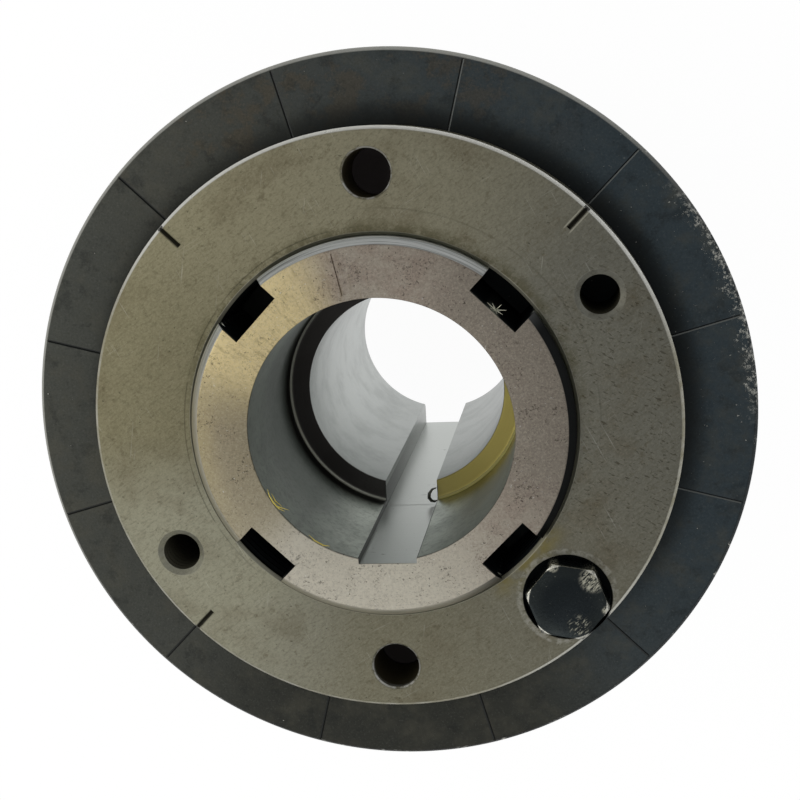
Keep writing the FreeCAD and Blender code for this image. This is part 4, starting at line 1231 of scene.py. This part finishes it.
@dataclass
class AdjustingNut:
    """Flanged nut with wrench holes, tapped holes, index marks and the bolt's recess."""

    array: RoundArray
    edge: float = 0.5
    bore: float = 26.05
    bore_chamfer: float = 0.4
    thread_depth: float = 0.8
    thread_pitch: float = 1.5
    boss: float = 38.0
    flange_gap: float = 0.3
    hole_circle: float = 34.0
    wrench_radius: float = 3.2
    wrench_depth: float = 9.0
    wrench_angle: float = 90.0
    tapped_core: float = 2.6
    tapped_depth: float = 0.4
    tapped_pitch: float = 1.0
    tapped_sink: float = 3.3
    tapped_angle: float = 30.0
    mark_length: float = 3.7
    mark_width: float = 0.75
    mark_depth: float = 0.35
    mark_angle: float = 45.0
    bolt_angle: float = 315.0
    bolt_radius: float = 3.02
    recess_radius: float = 6.0
    recess_depth: float = 2.0

    @property
    def front(self) -> float:
        """Level of the nut's face."""
        return top_of("adjusting_nut")

    @property
    def radius(self) -> float:
        """Radius of the nut's flange."""
        return radius_of("adjusting_nut")

    def wrench_holes(self) -> bpy.types.Object:
        """Cutter for the two plain blind holes, with drill-point floors."""
        floor = self.front - self.wrench_depth
        hole = turned("wrench_holes", [
            Corner(0, floor), Corner(self.wrench_radius, floor + 0.6),
            Corner(self.wrench_radius, self.front - 0.25),
            Corner(self.wrench_radius + 0.25, self.front),
            Corner(self.wrench_radius + 0.25, self.front + BLADE_OVERRUN),
            Corner(0, self.front + BLADE_OVERRUN)], HOLE_SEGMENTS)
        return self.array.repeat(placed(hole, self.hole_circle), 2, self.wrench_angle)

    def tapped_holes(self) -> bpy.types.Object:
        """Cutter for the two threaded holes with their countersinks."""
        low = bottom_of("adjusting_nut") - BLADE_OVERRUN
        sink = self.front - (self.tapped_sink - self.tapped_core)
        thread = thread_points(self.tapped_core, self.tapped_core + self.tapped_depth,
                               low + BLADE_OVERRUN + 0.3, sink, self.tapped_pitch)
        hole = turned("tapped_holes", [
            Corner(0, low), Corner(self.tapped_core, low), *thread,
            Corner(self.tapped_core, sink + 0.2), Corner(self.tapped_sink, self.front),
            Corner(self.tapped_sink, self.front + BLADE_OVERRUN),
            Corner(0, self.front + BLADE_OVERRUN)], HOLE_SEGMENTS)
        return self.array.repeat(placed(hole, self.hole_circle), 2, self.tapped_angle)

    def bolt_hole(self) -> bpy.types.Object:
        """Cutter for the locking bolt's hole and the recess for its head."""
        low = bottom_of("adjusting_nut") - BLADE_OVERRUN
        floor = self.front - self.recess_depth
        hole = turned("bolt_hole", [
            Corner(0, low), Corner(self.bolt_radius, low), Corner(self.bolt_radius, floor),
            Corner(self.recess_radius, floor, 0.15),
            Corner(self.recess_radius, self.front - 0.08),
            Corner(self.recess_radius + 0.08, self.front),
            Corner(self.recess_radius + 0.08, self.front + BLADE_OVERRUN),
            Corner(0, self.front + BLADE_OVERRUN)], HOLE_SEGMENTS * 2)
        return placed(hole, self.hole_circle, self.bolt_angle)

    def make(self) -> bpy.types.Object:
        """Builds the nut."""
        front, rear = self.front, bottom_of("adjusting_nut")
        flange_rear = top_of("index_ring") + self.flange_gap
        wide = self.bore + self.bore_chamfer
        thread = thread_points(self.bore, self.bore + self.thread_depth,
                               rear + self.bore_chamfer + 0.2, front - self.bore_chamfer - 0.2,
                               self.thread_pitch)
        corners = [
            Corner(wide, rear), Corner(self.boss, rear, 0.3), Corner(self.boss, flange_rear),
            Corner(self.radius, flange_rear, 0.15),
            Corner(self.radius, front - self.edge, 0.08),
            Corner(self.radius - self.edge, front, 0.08),
            Corner(wide, front, 0.05), Corner(self.bore, front - self.bore_chamfer),
            *reversed(thread),
            Corner(self.bore, rear + self.bore_chamfer),
        ]
        nut = turned("nut_flanged", corners)
        marks = self.array.repeat(
            engraver("marks", self.radius - self.mark_length, self.radius + BLADE_OVERRUN,
                     self.mark_width, front, self.mark_depth), 4, self.mark_angle)
        return combined(nut, "DIFFERENCE", [self.wrench_holes(), self.tapped_holes(), marks,
                                            self.bolt_hole()])


@dataclass
class IndexRing:
    """Black graduated ring, keyed to the hub, with engraved lines on its face."""

    array: RoundArray
    bore: float = 26.05
    recess: float = 38.3
    recess_depth: float = 6.5
    chamfer: float = 0.5
    rear_taper: float = 4.0
    key_width: float = 7.9
    key_tip: float = 22.4
    line_inner: float = 40.0
    line_width: float = 0.4
    line_depth: float = 0.14
    line_count: int = 12
    line_angle: float = 15.0

    @property
    def radius(self) -> float:
        """Outer radius of the ring."""
        return radius_of("index_ring")

    @property
    def front(self) -> float:
        """Level of the ring's graduated face."""
        return top_of("index_ring")

    def make(self) -> bpy.types.Object:
        """Builds the ring."""
        rear, front = bottom_of("index_ring"), self.front
        seat = front - self.recess_depth
        ring = turned("graduated_ring", [
            Corner(self.bore, rear, 0.1), Corner(self.radius - self.rear_taper, rear, 0.3),
            Corner(self.radius, rear + self.rear_taper, 0.4),
            Corner(self.radius, front - self.chamfer, 0.15),
            Corner(self.radius - self.chamfer, front, 0.15),
            Corner(self.recess, front, 0.2), Corner(self.recess, seat, 0.2),
            Corner(self.bore, seat, 0.1)])
        keys = self.array.repeat(bar("keys", self.key_tip, self.bore + 1, self.key_width,
                                     rear + 0.2, seat - 0.2), 4, 45)
        combined(ring, "UNION", [keys])
        lines = self.array.repeat(
            engraver("lines", self.line_inner - 0.5, self.radius + BLADE_OVERRUN,
                     self.line_width, front, self.line_depth), self.line_count, self.line_angle)
        return combined(ring, "DIFFERENCE", [lines])


@dataclass
class LockingBolt:
    """Hexagon bolt with a chamfered crown, in the nut's recess."""

    circle: float = 34.0
    angle: float = 315.0
    flats: float = 9.86
    head: float = 4.0
    turn: float = 50.0
    crown: float = -0.3
    bevel: float = 0.18
    thread_radius: float = 3.0
    thread_depth: float = 0.5
    thread_pitch: float = 1.0

    @property
    def top(self) -> float:
        """Level of the head's top."""
        return top_of("locking_bolt")

    def make(self) -> bpy.types.Object:
        """Builds the bolt."""
        top = self.top
        floor, tip = top - self.head, bottom_of("locking_bolt")
        corner = self.flats / 2 / math.cos(math.pi / 6)
        first = self.turn - self.angle
        outline = [(corner * math.cos(math.radians(first + 60 * index)),
                    corner * math.sin(math.radians(first + 60 * index)))
                   for index in range(6)]
        head = prism("lock_bolt", outline, floor, top + BLADE_OVERRUN)
        flat = self.flats / 2 - self.crown
        drop = (corner + 1 - flat) * math.tan(math.pi / 6)
        crown = turned("crown", [
            Corner(0, top), Corner(flat, top, 0.2),
            Corner(corner + 1, top - drop), Corner(corner + 1, floor - 1),
            Corner(0, floor - 1)], HOLE_SEGMENTS * 2)
        flat_faced(combined(head, "INTERSECT", [crown]))
        bevel = head.modifiers.new("broken_edges", "BEVEL")
        bevel.width = self.bevel * MM
        bevel.segments = 2
        bevel.limit_method = "ANGLE"
        bevel.angle_limit = math.radians(40)
        flattened(head)
        shank = turned("shank", [
            Corner(0, tip), Corner(self.thread_radius - self.thread_depth, tip),
            *thread_points(self.thread_radius, self.thread_radius - self.thread_depth,
                           tip + 0.6, floor - 0.5, self.thread_pitch),
            Corner(self.thread_radius, floor + 0.5), Corner(0, floor + 0.5)], HOLE_SEGMENTS)
        combined(head, "UNION", [shank])
        return placed(head, self.circle, self.angle)


@dataclass
class Swarf:
    """Loose slivers on the hub: brassy ones at the counterbore, pale ones in a slot, and a burr."""

    thickness: float = 0.11
    burr_thickness: float = 0.3
    sides: int = 5

    def sliver(self, name: str, points: Sequence[Place], thickness: float) -> bpy.types.Object:
        """Thin sliver along points, that tapers to both ends.

        Args:
            name: Name of the object.
            points: Where it runs, in millimetres.
            thickness: Its radius in the middle.

        Returns:
            The new object.
        """
        build = bmesh.new()
        rings = []
        for index, point in enumerate(points):
            before = Vector(points[max(index - 1, 0)])
            after = Vector(points[min(index + 1, len(points) - 1)])
            ahead = (after - before).normalized()
            side = ahead.cross(Vector((0.3, 0.2, 1.0))).normalized()
            over = side.cross(ahead)
            share = index / (len(points) - 1)
            wide = thickness * (0.25 + 0.75 * math.sin(math.pi * share))
            turns = [math.tau * step / self.sides for step in range(self.sides)]
            rings.append([build.verts.new(Vector(point) + wide * (math.cos(turn) * side
                                                                  + math.sin(turn) * over * 0.6))
                          for turn in turns])
        for first, second in zip(rings, rings[1:]):
            for step in range(self.sides):
                beside = (step + 1) % self.sides
                build.faces.new((first[step], first[beside], second[beside], second[step]))
        build.faces.new(rings[0][::-1])
        build.faces.new(rings[-1])
        return new_object(name, build)

    def brassy(self) -> bpy.types.Object:
        """Slivers that hang at the counterbore's edge, below the face."""
        paths = [
            [(-15.91, -7.52, 83.7), (-15.67, -8.44, 83.85), (-15.17, -9.41, 83.9),
             (-14.54, -10.26, 83.8), (-13.79, -10.77, 83.6)],
            [(-15.45, -8.22, 83.5), (-14.97, -9.25, 83.65), (-14.15, -10.13, 83.4)],
            [(-15.38, -9.06, 83.7), (-14.77, -9.93, 83.88), (-13.2, -10.7, 83.3)],
            [(-10.68, -14.12, 83.7), (-9.85, -14.89, 83.85), (-8.68, -15.6, 83.85),
             (-7.83, -15.76, 83.7)]]
        return joined("slivers_brass", [self.sliver("sliver", path, self.thickness)
                                        for path in paths])

    def pale(self) -> bpy.types.Object:
        """Slivers caught on the wall of a slot."""
        middle = Vector((15.9, 15.55, 82.4))
        crossing = tuple(middle + Vector((0.1, 0.1, 0.4)))
        paths = [((-0.9, 1.2, 0.9), (0.1, 0.2, 0.1)), ((-1.0, 0.1, 0.2), (0.5, -0.4, 0.0)),
                 ((0.9, 0.8, 0.8), (-0.4, -0.3, 0.0)), ((1.5, 0.0, 0.3), (-0.6, -0.2, 0.1)),
                 ((-0.3, 1.0, 0.2), (0.3, -0.7, 0.2)), ((1.0, -0.6, 0.1), (-0.9, 0.5, 0.3))]
        return joined("slivers_pale", [
            self.sliver("sliver", [tuple(middle + Vector(end)), crossing,
                                   tuple(middle + Vector(start))], self.thickness)
            for start, end in paths])

    def burr(self) -> bpy.types.Object:
        """Curled burr on the keyway's edge, level with the shoulder."""
        curl = [(3.95, -15.6, 56.4), (3.35, -15.7, 56.9), (2.9, -16.3, 57.1), (2.8, -17.0, 56.9),
                (3.1, -17.6, 56.6), (3.6, -17.8, 56.3), (3.95, -17.7, 56.0)]
        return self.sliver("keyway_burr", curl, self.burr_thickness)


@dataclass
class OutputFlange:
    """Driven flange with pilot, mounting disc, sleeve and tapped holes."""

    array: RoundArray
    bearing: float = 36.0
    shoulder: float = 33.5
    pilot: float = 42.0
    pilot_length: float = 4.0
    disc: float = 14.0
    sleeve: float = 47.0
    seat: float = 43.02
    groove: float = 37.5
    bolt_circle: float = 46.0
    bolt_core: float = 2.1
    bolt_depth: float = 12.0

    def make(self) -> bpy.types.Object:
        """Builds the flange."""
        rear, front = bottom_of("output_flange"), top_of("output_flange")
        outer = radius_of("output_flange")
        step = rear + self.pilot_length
        disc_top = step + self.disc
        ring_low, ring_high = bottom_of("flange_snap_ring"), top_of("flange_snap_ring")
        bearing_top = top_of("bearing_outer_ring")
        detent_rear = bottom_of("detent_ring")
        flange = turned("flange_turned", [
            Corner(self.bearing, rear, 0.3), Corner(self.pilot - 1, rear, 0.2),
            Corner(self.pilot, rear + 1, 0.2), Corner(self.pilot, step, 0.3),
            Corner(outer - 1, step, 0.2), Corner(outer, step + 1, 0.2),
            Corner(outer, disc_top - 1, 0.2), Corner(outer - 1, disc_top, 0.2),
            Corner(self.sleeve + 1.5, disc_top, 0.4), Corner(self.sleeve, disc_top + 1.5, 0.4),
            Corner(self.sleeve, front - 1, 0.2), Corner(self.sleeve - 1, front, 0.2),
            Corner(self.seat, front), Corner(self.seat, detent_rear),
            Corner(self.shoulder, detent_rear), Corner(self.shoulder, bearing_top),
            Corner(self.bearing, bearing_top), Corner(self.bearing, ring_high),
            Corner(self.groove, ring_high), Corner(self.groove, ring_low),
            Corner(self.bearing, ring_low)])
        hole = turned("holes", [
            Corner(0, step - BLADE_OVERRUN), Corner(self.bolt_core + 0.5, step - BLADE_OVERRUN),
            Corner(self.bolt_core + 0.5, step), Corner(self.bolt_core, step + 0.5),
            *thread_points(self.bolt_core, self.bolt_core + 0.35, step + 0.6,
                           step + self.bolt_depth - 2, 0.8),
            Corner(self.bolt_core, step + self.bolt_depth),
            Corner(0, step + self.bolt_depth + 1)], HOLE_SEGMENTS // 2)
        holes = self.array.repeat(placed(hole, self.bolt_circle), 8)
        return combined(flange, "DIFFERENCE", [holes])


@dataclass
class SpringPack:
    """Cup springs in two pairs: the lower gives way to the balls, the upper to the nut."""

    inner: float = 26.5
    outer: float = 43.0
    cone: float = 1.0
    thickness: float = 2.0
    lift: float = 2.0

    def spring(self, low: float, turned_over: bool) -> bpy.types.Object:
        """One cup spring from its lowest level, cone up or turned over."""
        first, last = self.inner, self.outer
        if turned_over:
            first, last = last, first
        return turned("spring", [
            Corner(first, low, 0.25), Corner(last, low + self.cone, 0.25),
            Corner(last, low + self.cone + self.thickness, 0.25),
            Corner(first, low + self.thickness, 0.25)], SEGMENTS // 2)

    def pair(self, name: str, low: float) -> bpy.types.Object:
        """Two springs set face to face, as one piece."""
        height = self.cone + self.thickness
        return joined(name, [self.spring(low, False), self.spring(low + height, True)])

    def make(self, material: bpy.types.Material) -> None:
        """Builds both pairs: the lower moves with the hub, the upper stays where it is built.

        Args:
            material: Finish of the springs.
        """
        low, high = bottom_of("cup_springs"), top_of("cup_springs")
        middle = (low + high) / 2
        lower = self.pair("spring_pair_lower", low)
        upper = self.pair("spring_pair_upper", middle)
        dressed(lower, Body.HUB, ["cup_springs"], material)
        dressed(upper, None, ["cup_springs"], material)
        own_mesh(lower)
        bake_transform(upper)


# Light, floor and camera


@dataclass(frozen=True)
class Studio:
    """Pale floor, soft lamps and the photograph's camera."""

    floor_size: float = 4.0
    floor_tone: Colour = (0.86, 0.86, 0.86)
    world_strength: float = 0.36
    floor_share: float = 0.93
    floor_glow: float = 1.04
    camera_place: Place = (27.31, 40.81, 254.125)
    camera_right: Place = (0.98997, -0.05726, -0.12919)
    camera_up: Place = (0.02864, 0.97657, -0.2133)
    lens: float = 60.0

    def camera(self) -> None:
        """Camera at the photograph's place, looking down on the nut."""
        data = bpy.data.cameras.new("camera")
        data.lens = self.lens
        data.sensor_width = 36.0
        data.clip_start = 0.005
        item = bpy.data.objects.new("camera", data)
        right, up = Vector(self.camera_right), Vector(self.camera_up)
        back = right.cross(up)
        basis = Matrix((right, up, back)).transposed().to_4x4()
        item.matrix_world = Matrix.Translation(Vector(self.camera_place) * MM) @ basis
        bpy.context.scene.collection.objects.link(item)
        bpy.context.scene.camera = item

    def lamp(self, name: str, place: Place, size: float, power: float, tone: Colour) -> None:
        """Soft area lamp that faces the clutch.

        Args:
            name: Name of the lamp.
            place: Its place in metres.
            size: Width of its face in metres.
            power: Its power in watts.
            tone: Its colour.
        """
        data = bpy.data.lights.new(name, "AREA")
        data.size = size
        data.energy = power
        data.color = tone
        item = bpy.data.objects.new(name, data)
        item.location = place
        aim = Vector((0, 0, 0.05)) - Vector(place)
        item.rotation_euler = aim.to_track_quat("-Z", "Y").to_euler()
        bpy.context.scene.collection.objects.link(item)

    def floor(self) -> None:
        """Pale floor that shows white to the camera and to reflections, with a soft shadow."""
        build = bmesh.new()
        bmesh.ops.create_grid(build, x_segments=2, y_segments=2, size=self.floor_size / 2 / MM)
        item = new_object("floor", build)
        material = bpy.data.materials.new("floor_pale")
        material.use_nodes = True
        tree = material.node_tree
        tree.nodes.clear()
        path = tree.nodes.new("ShaderNodeLightPath")
        seen = tree.nodes.new("ShaderNodeMath")
        seen.operation = "MAXIMUM"
        glow = tree.nodes.new("ShaderNodeEmission")
        glow.inputs["Strength"].default_value = self.floor_glow
        matt = tree.nodes.new("ShaderNodeBsdfDiffuse")
        matt.inputs["Color"].default_value = (*self.floor_tone, 1.0)
        share = tree.nodes.new("ShaderNodeMath")
        share.operation = "MULTIPLY"
        share.inputs[1].default_value = self.floor_share
        mix = tree.nodes.new("ShaderNodeMixShader")
        out = tree.nodes.new("ShaderNodeOutputMaterial")
        for start, end in ((path.outputs["Is Camera Ray"], seen.inputs[0]),
                           (path.outputs["Is Glossy Ray"], seen.inputs[1]),
                           (seen.outputs[0], share.inputs[0]), (share.outputs[0], mix.inputs[0]),
                           (matt.outputs[0], mix.inputs[1]), (glow.outputs[0], mix.inputs[2]),
                           (mix.outputs[0], out.inputs[0])):
            tree.links.new(start, end)
        item.data.materials.append(material)

    def world(self) -> None:
        """Even surround: white to the camera and to reflections, softer as light."""
        world = bpy.data.worlds.new("surround")
        bpy.context.scene.world = world
        world.use_nodes = True
        tree = world.node_tree
        back = tree.nodes["Background"]
        path = tree.nodes.new("ShaderNodeLightPath")
        level = tree.nodes.new("ShaderNodeMapRange")
        level.inputs["To Min"].default_value = self.world_strength
        level.inputs["To Max"].default_value = 1.0
        back.inputs["Color"].default_value = (1.0, 1.0, 1.0, 1.0)
        tree.links.new(path.outputs["Is Camera Ray"], level.inputs["Value"])
        tree.links.new(level.outputs["Result"], back.inputs["Strength"])

    def make(self) -> None:
        """Sets up the whole studio."""
        self.camera()
        self.floor()
        self.world()
        self.lamp("window", (-0.6, 0.05, 0.7), 0.55, 1.6, (1.0, 0.98, 0.93))
        self.lamp("low_window", (-0.15, -0.6, 0.75), 0.45, 0.8, (1.0, 0.99, 0.97))
        self.lamp("fill", (0.7, 0.2, 0.5), 0.6, 0.3, (0.9, 0.95, 1.0))
        bpy.context.scene.view_settings.view_transform = "Standard"


def dress_nodes(finishes: dict[str, bpy.types.Material]) -> None:
    """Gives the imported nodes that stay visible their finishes.

    Args:
        finishes: Material of each node by the node's name.
    """
    for name, material in finishes.items():
        item = frame["nodes"][name]
        if not item.material_slots:
            item.data.materials.append(material)
        for slot in item.material_slots:
            slot.material = material
        log.info("%s: dressed", name)


def main() -> None:
    """Builds every piece in order."""
    logging.basicConfig(level=logging.INFO)
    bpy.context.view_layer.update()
    array = RoundArray()
    hub, nut, ring, bolt = Hub(array), AdjustingNut(array), IndexRing(array), LockingBolt()
    black = SteelFinish("flange_black_steel", Ground.BLACKENED).make()
    turned_steel = SteelFinish("pressure_turned_steel", Ground.TURNED).make()
    hardened = SteelFinish("detent_ground_steel", Ground.HARDENED).make()
    spring = SteelFinish("spring_dark_steel", Ground.SPRING).make()
    bearing = SteelFinish("bearing_bright_steel", Ground.BEARING).make()
    fastener = SteelFinish("fastener_black_steel", Ground.FASTENER).make()
    rubber = MouldedFinish("seal_rubber", colour(34, 34, 34), 0.6).make()
    cage = MouldedFinish("cage_plastic", colour(150, 132, 92), 0.5).make()

    Studio().make()
    dressed(hub.make(), Body.HUB, ["hub"], HubFinish().make(hub))
    dressed(nut.make(), Body.NUT, ["adjusting_nut"], NutFinish().make(nut))
    dressed(ring.make(), Body.INDEX, ["index_ring"], IndexFinish().make(ring))
    dressed(bolt.make(), Body.NUT, ["locking_bolt"], BoltFinish().make(bolt))
    dressed(OutputFlange(array).make(), Body.FLANGE, ["output_flange"], black)
    SpringPack().make(spring)
    swarf = Swarf()
    brass = SteelFinish("sliver_brass", Ground.BRASSY).make()
    dressed(swarf.brassy(), Body.HUB, [], brass)
    dressed(swarf.pale(), Body.HUB, [], SteelFinish("sliver_pale", Ground.PALE).make())
    dressed(swarf.burr(), Body.HUB, [], turned_steel)
    dress_nodes({
        "pressure_ring": turned_steel, "thrust_washer": hardened, "detent_ring": hardened,
        "detent_ring_screws": fastener, "detent_ring_dowels": hardened, "drive_balls": bearing,
        "bearing_inner_ring": bearing, "bearing_outer_ring": bearing, "bearing_balls": bearing,
        "bearing_cage": cage, "rear_bearing_seal": rubber, "front_bearing_seal": rubber,
        "hub_snap_ring": spring, "flange_snap_ring": spring,
    })


if __name__ == "__main__":
    main()
